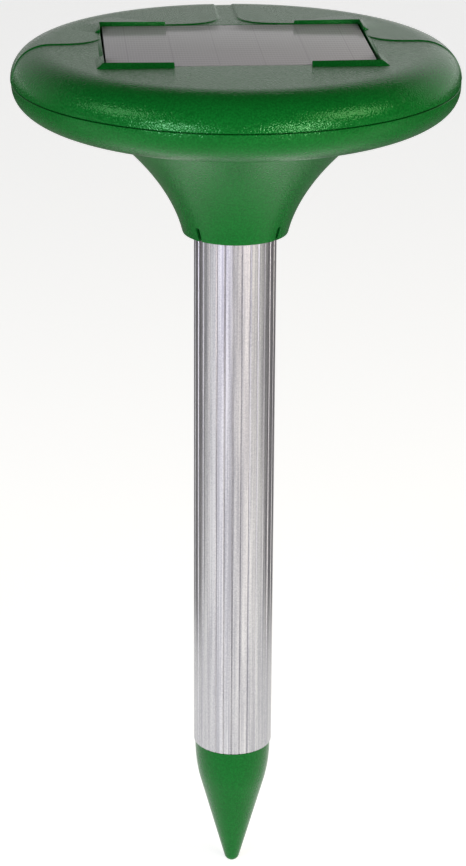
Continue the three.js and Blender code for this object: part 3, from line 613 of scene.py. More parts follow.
# %% Skin of the top
def top_skin():
    points, edges = [], []

    def draw(line, closed=False):
        first = len(points)
        points.extend(Vector(point) for point in line)
        count = len(line)
        edges.extend((first + i, first + i + 1) for i in range(count - 1))
        if closed:
            edges.append((first + count - 1, first))

    offsets = [beside(edge_line, distance) for distance in EDGE_OFFSETS]
    ends = [line[index] for line in offsets for index in (0, -1)]
    ends = ends + [end * (-1, 1) for end in ends]
    angles = [2 * math.pi * i / RIM_STEPS for i in range(RIM_STEPS)]
    border = sorted(angles + [math.atan2(y, x) % (2 * math.pi) for x, y in ends])
    draw([(PLAN_RADIUS * math.cos(a), PLAN_RADIUS * math.sin(a)) for a in border], closed=True)
    for i in range(RIM_RINGS):
        rho = RIM_START + (PLAN_RADIUS - RIM_START) * i / RIM_RINGS
        draw([(rho * math.cos(a), rho * math.sin(a)) for a in angles], closed=True)
    for line in offsets:
        line = line[np.hypot(*line.T) < PLAN_RADIUS - 0.02]
        for side in (1, -1):
            draw(line * (side, 1))
    for distance in POCKET_OFFSETS:
        x, y = POCKET_X + distance, POCKET_Y + distance
        draw([(-x, -y), (x, -y), (x, y), (-x, y)], closed=True)
    plan, _, faces, *_ = delaunay_2d_cdt(points, edges, [], 0, 1e-4)
    plan = np.array([tuple(point) for point in plan])
    return plan, faces


plan_points, plan_faces = top_skin()
print("skin of the top:", len(plan_points), "points,", len(plan_faces), "faces")


# %% [markdown]
# The skin is closed with a narrow chamfer at the joint and a flat bottom, which makes a lump.
# The inside is then cut out of the lump, and the pocket for the panel, its guards, the tongue
# that locates the lower cover, the screw bosses and the board posts are added, as in a mould.


# %% Lump of the top
CHAMFER_IN, CHAMFER_UP = 0.15, 0.12


def top_lump():
    points = [tuple(point) for point in lifted(plan_points)]
    faces = [list(face) for face in plan_faces]
    border = [i for i, p in enumerate(plan_points) if np.hypot(*p) > PLAN_RADIUS - 1e-3]
    border.sort(key=lambda i: math.atan2(plan_points[i][1], plan_points[i][0]))
    chamfer = []
    for i in border:
        x, y, _ = points[i]
        inwards = 1 - CHAMFER_IN / math.hypot(x, y)
        chamfer.append(len(points))
        points.append((x * inwards, y * inwards, JOINT_GAP / 2))
    for i in border:
        x, y, z = points[i]
        points[i] = (x, y, max(z, JOINT_GAP / 2 + CHAMFER_UP))
    points.append((0, 0, JOINT_GAP / 2))
    centre = len(points) - 1
    for k in range(len(border)):
        n = (k + 1) % len(border)
        faces.append([border[n], border[k], chamfer[k], chamfer[n]])
        faces.append([chamfer[n], chamfer[k], centre])
    return solid("top_shell", [(x, y, z + PARTING) for x, y, z in points], faces)


# %% [markdown]
# Low walls guard the panel's corners, and a low strip runs between them beside each short
# edge. Each is the smallest solid round a few corner points, which is the quickest way to
# make a wedge: `hull` finds its faces, joins the flat ones and rounds its edges.


# %% Guards and side strips
GUARD_LONG, GUARD_SHORT = 24.0, 12.0
GUARD_SLOPE = 2.8
GUARD_FOOT, GUARD_CORNER, GUARD_END = 11.1, 13.6, 13.4
GUARD_BEVEL = 0.3
STRIP_WIDTH, STRIP_HALF, STRIP_RISE = 1.4, 20, 0.4
STRIP_BEVEL = 0.12


def hull(name, places, flat_angle, bevel, steps):
    """The smallest solid round the places, with its edges bevelled."""
    shape = bmesh.new()
    for x, y, z in places:
        shape.verts.new(Vector((x, y, z + PARTING)) * MM)
    bmesh.ops.convex_hull(shape, input=shape.verts[:])
    bmesh.ops.dissolve_limit(shape, angle_limit=flat_angle, verts=shape.verts[:], edges=shape.edges[:])
    edges = shape.edges[:]
    bmesh.ops.bevel(shape, geom=edges, offset=bevel * MM, segments=steps, profile=0.5, affect="EDGES")
    piece = solid(name, [(0, 0, 0)], [])
    shape.to_mesh(piece.data)
    shape.free()
    return piece


def guard_arm(corner_x, corner_y, free_x, free_y):
    """One arm of the low wall round a corner of the panel, upright inside and sloping outside."""
    out_x, out_y = math.copysign(GUARD_SLOPE, corner_x), math.copysign(GUARD_SLOPE, corner_y)
    free_outer = (free_x, free_y + out_y) if free_y == corner_y else (free_x + out_x, free_y)
    corner_outer = (corner_x + out_x, corner_y + out_y)
    places = [
        (corner_x, corner_y, GUARD_FOOT),
        (free_x, free_y, GUARD_FOOT),
        (*free_outer, GUARD_FOOT),
        (*corner_outer, GUARD_FOOT),
        (corner_x, corner_y, GUARD_CORNER),
        (free_x, free_y, GUARD_END),
        (*free_outer, TOP),
        (*corner_outer, TOP),
    ]
    return hull("guard_arm", places, math.radians(12), GUARD_BEVEL, 3)


def side_strip(side):
    """Low sloping strip beside a short edge of the panel, between the guards."""
    inner, outer = side * POCKET_X, side * (POCKET_X + STRIP_WIDTH)
    section = [(inner, GUARD_FOOT), (outer, GUARD_FOOT), (outer, TOP), (inner, TOP + STRIP_RISE)]
    places = [(x, y, z) for y in (-STRIP_HALF, STRIP_HALF) for x, z in section]
    return hull("side_strip", places, 0.02, STRIP_BEVEL, 2)


def panel_guards():
    arms = []
    for x in (-POCKET_X, POCKET_X):
        for y in (-POCKET_Y, POCKET_Y):
            arms.append(guard_arm(x, y, x - math.copysign(GUARD_LONG, x), y))
            arms.append(guard_arm(x, y, x, y - math.copysign(GUARD_SHORT, y)))
    return arms


print("guards rise", round(GUARD_CORNER - TOP, 2), "mm above the cover")

# %% [markdown]
# Under the skin the cover carries a tub for the panel, four screw bosses, two posts for the
# circuit board and a pair of springy hooks for the battery tray. They are plain rods and
# blocks, joined to the shell before its holes are cut.


# %% Shell of the top
def rod(radius, low, high, centre=(0.0, 0.0), segments=32):
    profile = [(0, low + PARTING), (radius, low + PARTING), (radius, high + PARTING), (0, high + PARTING)]
    return turned("rod", profile, segments, centre)


def head_block(low, high):
    return block("block", (*low[:2], low[2] + PARTING), (*high[:2], high[2] + PARTING))


SCREW_PLACES = [(x * SCREW_REACH, y * SCREW_REACH) for x, y in ((1, 1), (-1, 1), (-1, -1), (1, -1))]
BOARD_POSTS = [(-24.0, -19.0), (24.0, -19.0)]
TUB_LOW = POCKET_FLOOR - 2
BOSS_RADIUS, BOSS_LOW = 3.6, -4.2
POST_RADIUS, POST_LOW = 3.0, -0.2
THREAD_RADIUS = 1.7
HOOK_NEAR, HOOK_FAR, HOOK_LIP = 31.3, 33, 29.8
HOOK_FRONT, HOOK_BACK = 18, 30
HOOK_LOW, HOOK_LIP_TOP = -10.1, -8.8
WIRE_HOLE, WIRE_HOLE_RADIUS = (36, -12), 3.5


def tray_hook(side):
    """An upright and the lip at its foot, which holds one end of the battery tray."""
    near, far, lip = side * HOOK_NEAR, side * HOOK_FAR, side * HOOK_LIP
    levels = ((near, TUB_LOW + 0.5), (lip, HOOK_LIP_TOP))
    return [
        head_block((min(x, far), HOOK_FRONT, HOOK_LOW), (max(x, far), HOOK_BACK, top))
        for x, top in levels
    ]


def make_top_shell():
    shell = top_lump()
    inside = rounded_rim(RIM_START - 2, TONGUE_INNER, TOP - WALL, RIM_POWER, 12)
    profile = [(0, TOP - WALL), *inside, (TONGUE_INNER, -5), (0, -5)]
    combined(shell, "DIFFERENCE", [turned("inside", raised_to(profile, PARTING), 160)])

    tongue = [(TONGUE_INNER, -1), (TONGUE_OUTER, -1), (TONGUE_OUTER, 1.2), (TONGUE_INNER, 1.2)]
    added = [
        head_block((-POCKET_X - 2, -POCKET_Y - 2, TUB_LOW), (POCKET_X + 2, POCKET_Y + 2, TOP - WALL / 2)),
        turned("tongue", raised_to(softened(tongue, 0.2), PARTING), 160),
        side_strip(-1),
        side_strip(1),
        *panel_guards(),
    ]
    added += [rod(BOSS_RADIUS, BOSS_LOW, TOP - WALL / 2, place) for place in SCREW_PLACES]
    added += [rod(POST_RADIUS, POST_LOW, TUB_LOW + 0.5, place) for place in BOARD_POSTS]
    added += [*tray_hook(-1), *tray_hook(1)]
    combined(shell, "UNION", added)

    removed = [
        head_block((-POCKET_X, -POCKET_Y, POCKET_FLOOR), (POCKET_X, POCKET_Y, 2 * TOP)),
        rod(WIRE_HOLE_RADIUS, TUB_LOW - 1, POCKET_FLOOR + 1, WIRE_HOLE),
    ]
    removed += [rod(THREAD_RADIUS, -5, 6, place) for place in SCREW_PLACES]
    removed += [rod(THREAD_RADIUS, -1, 3.5, place) for place in BOARD_POSTS]
    combined(shell, "DIFFERENCE", removed)
    return smoothed(shell, green_abs, 32)


top_shell = make_top_shell()
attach(top_shell, "head")
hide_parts("top_cover")

# %% [markdown]
# ## Lower cover
# The underside rolls in from the rim to a flat ring and then runs down a trumpet-shaped neck
# to the collar, which grips the tube. Four slits let the collar spring open a little. It is
# turned as one profile, hollowed, and given its socket, ribs, screw holes and button guide.


# %% Profiles of the lower cover
def underside_rim(radius, depth, steps):
    rim = rounded_rim(UNDERSIDE_START, radius, depth, UNDERSIDE_POWER, steps)
    kept = [(r, z - JOINT_GAP / 2) for r, z in rim if r > NECK_TOP + 0.6]
    return kept[::-1]


def neck_line(top, bottom, steps):
    drop, reach = top[1] - bottom[1], top[0] - bottom[0]
    leaving = (top[0] - 0.456 * reach, top[1] - 0.25 * drop)
    arriving = (bottom[0] + 0.12 * reach, bottom[1] + 0.376 * drop)
    return [tuple(point) for point in bezier(top, leaving, arriving, bottom, steps)]


def lower_outside():
    radius = RIM_RADIUS - OVERHANG
    rim = underside_rim(radius, UNDERSIDE + JOINT_GAP / 2, 40)
    chamfer = [(radius - CHAMFER_IN, -JOINT_GAP / 2), (radius - 0.02, -JOINT_GAP / 2 - CHAMFER_UP)]
    rim = chamfer + [p for p in rim if p[1] < -0.6]
    neck = neck_line((NECK_TOP, UNDERSIDE), (COLLAR_RADIUS, COLLAR_BOTTOM + 0.5), 48)
    foot = [(COLLAR_RADIUS - 0.15, COLLAR_BOTTOM + 0.15), (COLLAR_RADIUS - 0.5, COLLAR_BOTTOM)]
    return [(0, -JOINT_GAP / 2), *rim, *neck, *foot, (0, COLLAR_BOTTOM)]


def lower_inside():
    inner_rim = TONGUE_INNER - 1.9
    rim = underside_rim(inner_rim, UNDERSIDE + WALL + JOINT_GAP / 2, 14)
    top, foot = (NECK_TOP - 1.6, UNDERSIDE + WALL), (COLLAR_RADIUS - WALL, COLLAR_BOTTOM + WALL)
    neck = [p for p in neck_line(top, foot, 16) if p[1] > POCKET_FLOOR_NECK]
    floor = [(SOCKET_RADIUS + 0.4, POCKET_FLOOR_NECK), (0, POCKET_FLOOR_NECK)]
    return [(0, 1), (inner_rim, 1), *rim, *neck, *floor]


print("outside of the lower cover:", len(lower_outside()), "points")


# %% Shell of the lower cover
SLIT_HALF, SLIT_HEIGHT = 0.8, 5.6
SLIT_ANGLES = (45, 135, 225, 315)
GUIDE_EDGE, GUIDE_INNER, GUIDE_OUTER = 5, 5.9, 7.2
GUIDE_TOP, BUTTON_SEAT, BUTTON_BORE = -6.3, -12.4, 4.6
SLEEVE_RADIUS, SLEEVE_TOP = 4.6, -4.5
SCREW_HEAD_BORE, SCREW_SEAT, SCREW_BORE = 3.4, -10.0, 1.8


def head_ring(inner, outer, low, high, segments=48, centre=(0.0, 0.0)):
    profile = [(inner, low), (outer, low), (outer, high), (inner, high)]
    return turned("ring", raised_to(profile, PARTING), segments, centre)


def collar_slit(angle):
    """Cutter for one slit: straight sides and a round end."""
    outline = [(-SLIT_HALF, -2.0), (SLIT_HALF, -2.0)]
    for a in np.linspace(0, math.pi, 13):
        height = SLIT_HEIGHT - SLIT_HALF + SLIT_HALF * math.sin(a)
        outline.append((SLIT_HALF * math.cos(a), height))
    turn = Matrix.Rotation(math.radians(angle), 3, "Z")
    points = []
    for distance in (12, 22):
        points += [turn @ Vector((distance, x, z + COLLAR_BOTTOM + PARTING)) for x, z in outline]
    count = len(outline)
    sides = [[i, (i + 1) % count, (i + 1) % count + count, i + count] for i in range(count)]
    return solid("slit", points, [list(range(count))[::-1], list(range(count, 2 * count)), *sides])


def make_lower_shell():
    shell = turned("lower_shell", raised_to(lower_outside(), PARTING), 240)
    combined(shell, "DIFFERENCE", [turned("inside", raised_to(lower_inside(), PARTING), 120)])
    socket = [
        (COLLAR_BORE - 1, COLLAR_BOTTOM + 2),
        (COLLAR_BORE - 1, LIP_LOW + 1),
        (LIP_RADIUS, LIP_LOW + 1),
        (LIP_RADIUS, SOCKET_TOP),
        (SOCKET_RADIUS, SOCKET_TOP),
        (SOCKET_RADIUS, COLLAR_BOTTOM + 2),
    ]
    added = [
        turned("socket", raised_to(socket, PARTING), 96),
        head_ring(GUIDE_EDGE, GUIDE_OUTER, UNDERSIDE - 0.9, UNDERSIDE + WALL, centre=(0, BUTTON_Y)),
        head_ring(GUIDE_INNER, GUIDE_OUTER, UNDERSIDE + WALL - 1, GUIDE_TOP, centre=(0, BUTTON_Y)),
    ]
    added += [rod(SLEEVE_RADIUS, UNDERSIDE + 3.4, SLEEVE_TOP, place) for place in SCREW_PLACES]
    combined(shell, "UNION", added)
    removed = [
        rod(COLLAR_BORE, COLLAR_BOTTOM - 5, LIP_LOW, segments=96),
        rod(LIP_RADIUS, LIP_LOW - 1, SOCKET_TOP + 1, segments=96),
        head_ring(TONGUE_INNER - 0.3, TONGUE_OUTER + 0.3, -2.6, 1, 160),
        rod(BUTTON_BORE, UNDERSIDE - 3, -5, (0, BUTTON_Y), 48),
        rod(GUIDE_INNER, BUTTON_SEAT, -5, (0, BUTTON_Y), 48),
    ]
    for place in SCREW_PLACES:
        removed.append(rod(SCREW_HEAD_BORE, UNDERSIDE - 3, SCREW_SEAT, place, 48))
        removed.append(rod(SCREW_BORE, UNDERSIDE, 0, place))
    removed += [collar_slit(angle) for angle in SLIT_ANGLES]
    combined(shell, "DIFFERENCE", removed)
    return smoothed(shell, green_abs, 32)


lower_shell = make_lower_shell()
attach(lower_shell, "head")
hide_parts("lower_cover")

# %% [markdown]
# ## Ground spike
# A plain cone with a round tip, moulded in the same ABS, with a rounded shoulder that meets
# the tube, and a spigot with a groove for the seal that stays inside the tube.

# %% Spike
SPIKE_ANGLE = math.radians(15.3)
TIP_RADIUS = 3.0
CONE_TOP = 37.0
SHOULDER_RADIUS, SHOULDER_HEIGHT = 14.5, 54.0
SPIGOT_RADIUS, SPIGOT_TOP = 13.5, 76
SEAL_RADIUS, SEAL_LOW, SEAL_HIGH = 11.5, 66, 68.6
TIP_STEPS, SHOULDER_STEPS = 14, 24


def spike_profile():
    angles = [(math.pi / 2 - SPIKE_ANGLE) * i / TIP_STEPS for i in range(TIP_STEPS + 1)]
    tip = [(TIP_RADIUS * math.sin(a), TIP_RADIUS * (1 - math.cos(a))) for a in angles]
    cone_radius = tip[-1][0] + (CONE_TOP - tip[-1][1]) * math.tan(SPIKE_ANGLE)
    start, end = Vector((cone_radius, CONE_TOP)), Vector((SHOULDER_RADIUS, SHOULDER_HEIGHT))
    knee = Vector((SHOULDER_RADIUS, CONE_TOP + (SHOULDER_RADIUS - cone_radius) / math.tan(SPIKE_ANGLE)))
    shares = [i / SHOULDER_STEPS for i in range(SHOULDER_STEPS + 1)]
    shoulder = [start.lerp(knee, s).lerp(knee.lerp(end, s), s) for s in shares]
    spigot = [(SPIGOT_RADIUS, SHOULDER_HEIGHT), (SPIGOT_RADIUS, SEAL_LOW), (SEAL_RADIUS, SEAL_LOW)]
    spigot += [(SEAL_RADIUS, SEAL_HIGH), (SPIGOT_RADIUS, SEAL_HIGH), (SPIGOT_RADIUS, SPIGOT_TOP)]
    return [*tip, *shoulder, *softened([*spigot, (0, SPIGOT_TOP)], 0.4)]


ground_spike = smoothed(turned("ground_spike", spike_profile(), 128), green_abs)
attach(ground_spike, "stake")
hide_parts("spike")

# %% [markdown]
# ## Grooved tube
# An extrusion is one outline pushed through a die, so its shape follows a rule: a circle with
# thirty equal V grooves, a plain bore, and the same section all the way up. Geometry Nodes
# says just that. The circle has nine points for each groove, every ninth point is pushed in,
# the outline and the bore are filled as one face, and the face is extruded in three steps,
# so that the ends of the tube can be drawn in a little as a saw-cut and broken edge.


# %% Section of the tube
GROOVES, GROOVE_POINTS = 30, 9
BORE_POINTS = 90
TUBE_SIZES = {
    "Radius": TUBE_RADIUS,
    "Bore": 13.8,
    "Depth": 0.35,
    "Low": TUBE_LOW,
    "High": TUBE_HIGH,
    "Chamfer": 0.25,
}


def add_tube_section(tree, given):
    """The grooved outline and the bore, filled as one flat face."""
    points = add(tree, "ShaderNodeMath", {0: given["Grooves"], 1: GROOVE_POINTS}, operation="MULTIPLY")
    circle = {"Resolution": points.outputs[0], "Radius": given["Radius"]}
    outline = add(tree, "GeometryNodeCurvePrimitiveCircle", circle)
    index = add(tree, "GeometryNodeInputIndex")
    ninth = add(tree, "ShaderNodeMath", {0: index.outputs[0], 1: GROOVE_POINTS}, operation="MODULO")
    is_groove = add(tree, "ShaderNodeMath", {0: ninth.outputs[0], 1: 0.5}, operation="LESS_THAN")
    push = add(tree, "ShaderNodeMath", {0: is_groove.outputs[0], 1: given["Depth"]}, operation="MULTIPLY")
    inwards = add(tree, "ShaderNodeMath", {0: push.outputs[0], 1: -1}, operation="MULTIPLY")
    place = add(tree, "GeometryNodeInputPosition")
    outwards = add(tree, "ShaderNodeVectorMath", {0: place.outputs[0]}, operation="NORMALIZE")
    pushed = {0: outwards.outputs[0], "Scale": inwards.outputs[0]}
    groove = add(tree, "ShaderNodeVectorMath", pushed, operation="SCALE")
    moved = {"Geometry": outline.outputs[0], "Offset": groove.outputs[0]}
    grooved = add(tree, "GeometryNodeSetPosition", moved)
    circle = {"Resolution": BORE_POINTS, "Radius": given["Bore"]}
    bore = add(tree, "GeometryNodeCurvePrimitiveCircle", circle)
    both = add(tree, "GeometryNodeJoinGeometry")
    tree.links.new(grooved.outputs[0], both.inputs[0])
    tree.links.new(bore.outputs[0], both.inputs[0])
    return add(tree, "GeometryNodeFillCurve", {"Curve": both.outputs[0]}).outputs[0]


# %% Walls of the tube
def add_tube_walls(tree, given, section, length):
    """The section pulled up in three steps, so that a ring of points stands near each end."""
    twice = add(tree, "ShaderNodeMath", {0: given["Chamfer"], 1: 2}, operation="MULTIPLY")
    middle = add(tree, "ShaderNodeMath", {0: length, 1: twice.outputs[0]}, operation="SUBTRACT")
    walls, selected = section, None
    for height in (given["Chamfer"], middle.outputs[0], given["Chamfer"]):
        values = {"Mesh": walls, "Offset": (0, 0, 1), "Offset Scale": height, "Individual": False}
        if selected:
            values["Selection"] = selected
        step = add(tree, "GeometryNodeExtrudeMesh", values, mode="FACES")
        walls, selected = step.outputs["Mesh"], step.outputs["Top"]
    bottom = add(tree, "GeometryNodeFlipFaces", {"Mesh": section})
    closed = add(tree, "GeometryNodeJoinGeometry")
    tree.links.new(walls, closed.inputs[0])
    tree.links.new(bottom.outputs[0], closed.inputs[0])
    joined = {"Geometry": closed.outputs[0], "Distance": 0.001}
    return add(tree, "GeometryNodeMergeByDistance", joined).outputs[0]


# %% Ends of the tube
def add_drawn_in_ends(tree, given, walls, length):
    """The outer edge at each end drawn in by the chamfer, as a file leaves it."""
    place = add(tree, "GeometryNodeInputPosition")
    parts = add(tree, "ShaderNodeSeparateXYZ", {0: place.outputs[0]})
    level = add(tree, "ShaderNodeCombineXYZ", {0: parts.outputs[0], 1: parts.outputs[1], 2: 0.0})
    radius = add(tree, "ShaderNodeVectorMath", {0: level.outputs[0]}, operation="LENGTH")
    halfway = add(tree, "ShaderNodeMath", {0: given["Radius"], 1: given["Bore"]}, operation="ADD")
    middle_wall = add(tree, "ShaderNodeMath", {0: halfway.outputs[0], 1: 0.5}, operation="MULTIPLY")
    outside = {0: radius.outputs["Value"], 1: middle_wall.outputs[0]}
    outer = add(tree, "FunctionNodeCompare", outside, operation="GREATER_THAN")
    half_long = add(tree, "ShaderNodeMath", {0: length, 1: 0.5}, operation="MULTIPLY")
    height = {0: parts.outputs[2], 1: half_long.outputs[0]}
    from_middle = add(tree, "ShaderNodeMath", height, operation="SUBTRACT")
    distance = add(tree, "ShaderNodeMath", {0: from_middle.outputs[0]}, operation="ABSOLUTE")
    half_chamfer = add(tree, "ShaderNodeMath", {0: given["Chamfer"], 1: 0.5}, operation="MULTIPLY")
    short = {0: half_long.outputs[0], 1: half_chamfer.outputs[0]}
    limit = add(tree, "ShaderNodeMath", short, operation="SUBTRACT")
    beyond = {0: distance.outputs[0], 1: limit.outputs[0]}
    at_end = add(tree, "FunctionNodeCompare", beyond, operation="GREATER_THAN")
    chosen = {0: outer.outputs[0], 1: at_end.outputs[0]}
    edge = add(tree, "FunctionNodeBooleanMath", chosen, operation="AND")
    level_out = add(tree, "ShaderNodeVectorMath", {0: level.outputs[0]}, operation="NORMALIZE")
    back = add(tree, "ShaderNodeMath", {0: given["Chamfer"], 1: -1}, operation="MULTIPLY")
    inwards = {0: level_out.outputs[0], "Scale": back.outputs[0]}
    drawn_in = add(tree, "ShaderNodeVectorMath", inwards, operation="SCALE")
    moved = {"Geometry": walls, "Selection": edge.outputs[0], "Offset": drawn_in.outputs[0]}
    return add(tree, "GeometryNodeSetPosition", moved).outputs[0]


# %% Nodes for the tube
def end_tree(tree, geometry, material):
    """Ends a tree as the export needs it: instances made real, and the material set."""
    real = add(tree, "GeometryNodeRealizeInstances", {"Geometry": geometry})
    dressed = {"Geometry": real.outputs[0], "Material": material}
    painted = add(tree, "GeometryNodeSetMaterial", dressed)
    result = tree.nodes.new("NodeGroupOutput")
    tree.links.new(painted.outputs[0], result.inputs[0])


def tube_nodes():
    tree = bpy.data.node_groups.new("grooved_tube", "GeometryNodeTree")
    for name in TUBE_SIZES:
        tree.interface.new_socket(name=name, in_out="INPUT", socket_type="NodeSocketFloat")
    tree.interface.new_socket(name="Grooves", in_out="INPUT", socket_type="NodeSocketInt")
    tree.interface.new_socket(name="Geometry", in_out="OUTPUT", socket_type="NodeSocketGeometry")
    given = tree.nodes.new("NodeGroupInput").outputs
    long = add(tree, "ShaderNodeMath", {0: given["High"], 1: given["Low"]}, operation="SUBTRACT")
    section = add_tube_section(tree, given)
    walls = add_tube_walls(tree, given, section, long.outputs[0])
    ends = add_drawn_in_ends(tree, given, walls, long.outputs[0])
    lift = add(tree, "ShaderNodeCombineXYZ", {0: 0.0, 1: 0.0, 2: given["Low"]})
    raised = add(tree, "GeometryNodeTransform", {"Geometry": ends, "Translation": lift.outputs[0]})
    in_metres = {"Geometry": raised.outputs[0], "Scale": (MM, MM, MM)}
    scaled = add(tree, "GeometryNodeTransform", in_metres)
    end_tree(tree, scaled.outputs[0], anodised_aluminium)
    return tree


# %% Tube from its nodes
def from_nodes(name, tree, values):
    """Runs a node tree once with its named inputs and keeps the result as a plain mesh."""
    piece = solid(name, [(0, 0, 0)], [])
    modifier = piece.modifiers.new(name, "NODES")
    modifier.node_group = tree
    for item in tree.interface.items_tree:
        if item.in_out == "INPUT" and item.name in values:
            modifier[item.identifier] = values[item.name]
    evaluated = piece.evaluated_get(bpy.context.evaluated_depsgraph_get())
    mesh = bpy.data.meshes.new_from_object(evaluated)
    piece.modifiers.clear()
    piece.data = mesh
    mesh.name = name
    return piece


grooved_tube = from_nodes("grooved_tube", tube_nodes(), {**TUBE_SIZES, "Grooves": GROOVES})
smoothed(grooved_tube, anodised_aluminium, 12)
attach(grooved_tube, "stake")
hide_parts("tube")

# %% [markdown]
# ## Solar panel
# The cells, their backing and the clear film are one laminate, cut from a larger sheet, so
# one block stands for all three. It lies in the pocket with a thin gap all round.

# %% Panel laminate
PANEL_BEVEL = 0.12
panel_laminate = block(
    "panel_laminate",
    (-PANEL_X, PANEL_MIDDLE - PANEL_Y, PANEL_BACK),
    (PANEL_X, PANEL_MIDDLE + PANEL_Y, PANEL_TOP),
    bevel=PANEL_BEVEL,
)
smoothed(panel_laminate, solar_laminate)
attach(panel_laminate, "head")
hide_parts("panel_cover_sheet", "solar_cells")

# %% [markdown]
# ## Screws
# Four pan head screws hold the covers together from below. One screw is turned and given its
# cross recess, and Geometry Nodes stands a copy at each of the four bosses. No two screws in
# a real product stop at the same angle, so each copy is turned by a seeded random amount.

# %% One screw
SCREW_LOW = -12.6
SCREW_HEAD, SCREW_HEAD_HEIGHT = 2.9, 2.3
SCREW_SHANK, SCREW_LENGTH = 1.4, 16
RECESS_REACH, RECESS_HALF = 1.5, 0.4


def make_screw_pattern():
    profile = [(0, 0), (2.2, 0), (SCREW_HEAD, 0.8), (SCREW_HEAD, SCREW_HEAD_HEIGHT)]
    profile += [(SCREW_SHANK, SCREW_HEAD_HEIGHT), (SCREW_SHANK, 14.5)]
    profile += [(0.3, SCREW_LENGTH), (0, SCREW_LENGTH)]
    screw = turned("screw_pattern", softened(profile, 0.35), 40)
    arms = ((RECESS_REACH, RECESS_HALF), (RECESS_HALF, RECESS_REACH))
    recess = [block("slot", (-x, -y, -1), (x, y, 1)) for x, y in arms]
    return smoothed(combined(screw, "DIFFERENCE", recess), finishes["steel"])


screw_pattern = make_screw_pattern()


# %% Four screws
def screw_nodes(pattern):
    tree = bpy.data.node_groups.new("cover_screws", "GeometryNodeTree")
    for name in ("Circle", "Height"):
        tree.interface.new_socket(name=name, in_out="INPUT", socket_type="NodeSocketFloat")
    for name in ("Count", "Seed"):
        tree.interface.new_socket(name=name, in_out="INPUT", socket_type="NodeSocketInt")
    tree.interface.new_socket(name="Geometry", in_out="OUTPUT", socket_type="NodeSocketGeometry")
    given = tree.nodes.new("NodeGroupInput").outputs
    circle = add(tree, "GeometryNodeMeshCircle", {"Vertices": given["Count"], "Radius": given["Circle"]})
    lift = add(tree, "ShaderNodeCombineXYZ", {0: 0.0, 1: 0.0, 2: given["Height"]})
    at_bosses = {"Translation": lift.outputs[0], "Rotation": Euler((0, 0, math.pi / 4))}
    placed = add(tree, "GeometryNodeTransform", {"Geometry": circle.outputs[0], **at_bosses})
    source = add(tree, "GeometryNodeObjectInfo", {"Object": pattern})
    turn = add(
        tree,
        "FunctionNodeRandomValue",
        {"Min": (0, 0, 0), "Max": (0, 0, math.pi / 2), "Seed": given["Seed"]},
        data_type="FLOAT_VECTOR",
    )
    copies = add(
        tree,
        "GeometryNodeInstanceOnPoints",
        {"Points": placed.outputs[0], "Instance": source.outputs["Geometry"], "Rotation": turn.outputs[0]},
    )
    end_tree(tree, copies.outputs[0], finishes["steel"])
    return tree


screw_values = {"Circle": SCREW_CIRCLE * MM, "Height": (SCREW_LOW + PARTING) * MM, "Count": 4, "Seed": 7}
cover_screws = from_nodes("cover_screws", screw_nodes(screw_pattern), screw_values)
bpy.data.objects.remove(screw_pattern)
smoothed(cover_screws, finishes["steel"])
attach(cover_screws, "head")
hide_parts("cover_screw_1", "cover_screw_2", "cover_screw_3", "cover_screw_4")

# %% [markdown]
# ## Small turned pieces
# The rubber button under the head, and what shows when the head is lifted off the tube: the
# disc in the tube's end with the lead's socket, and the plug in the neck. Each is one profile.
# A row of the table gives a piece's profile, height and centre, its body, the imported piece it
# stands for, its finish and the radius of its soft edges.

# %% Button, socket and plug
TUBE_END = TUBE_HIGH - 0.3
button_profile = [(0, -16.3), (2.4, -16.3), (2.8, -16.4), (4, -16.4), (4, -10.4), (5.4, -10.4)]
button_profile += [(5.4, -9.4), (3, -9.4), (3, -7.7), (0, -7.7)]
plug_profile = [(0, -45.5), (1.1, -45.5), (1.75, -44.2), (1.2, -42.4), (1.75, -41.2), (1.75, -33.5)]
plug_profile += [(2.6, -33.5), (2.6, -26.9), (5, -26.9), (5, -24.5), (0, -24.5)]
end_profile = [(5.3, -6), (13.5, -14), (13.5, 0), (5.3, 0)]
socket_profile = [(0, -18), (5, -18), (5, 0), (3, 0), (3, -15.5), (0, -15.5)]
holder_profile = [(3.4, -29.2), (16.8, -29.2), (16.8, -27.2), (3.4, -27.2)]
TURNED_PIECES = [
    ("button_cap", button_profile, PARTING, (0, BUTTON_Y), "button", "power_button", "black_rubber", 0.5),
    ("lead_plug", plug_profile, PARTING, (0, 0), "head", "jack_plug", "steel", 0.3),
    ("lead_plug_holder", holder_profile, PARTING, (0, 0), "head", "plug_holder", "black_plastic", 0.3),
    ("tube_end_disc", end_profile, TUBE_END, (0, 0), "stake", "tube_plug", "black_plastic", 0.4),
    ("lead_socket", socket_profile, TUBE_END, (0, 0), "stake", "jack_socket", "white_nylon", 0.3),
]
for name, profile, height, centre, body, node, slot, edge in TURNED_PIECES:
    piece = turned(name, raised_to(softened(profile, edge), height), 72, centre)
    smoothed(piece, finishes[slot])
    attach(piece, body)
    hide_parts(node)

# %% [markdown]
# ## Studio
# The camera is a long lens a little under a metre away. It looks down at the object by about
# 21 degrees, so the top shows as a flat ellipse. Its height, distance and turn are in
# millimetres and degrees, and it is level apart from a third of a degree of roll.

# %% Camera
CAMERA_AZIMUTH = -4.3
CAMERA_PITCH = 21.03
CAMERA_ROLL = 0.322
CAMERA_DISTANCE, CAMERA_HEIGHT = 924.15, 536.66
CAMERA_ASIDE = -0.425
FOCAL_LENGTH, SENSOR = 110.28, 36.0


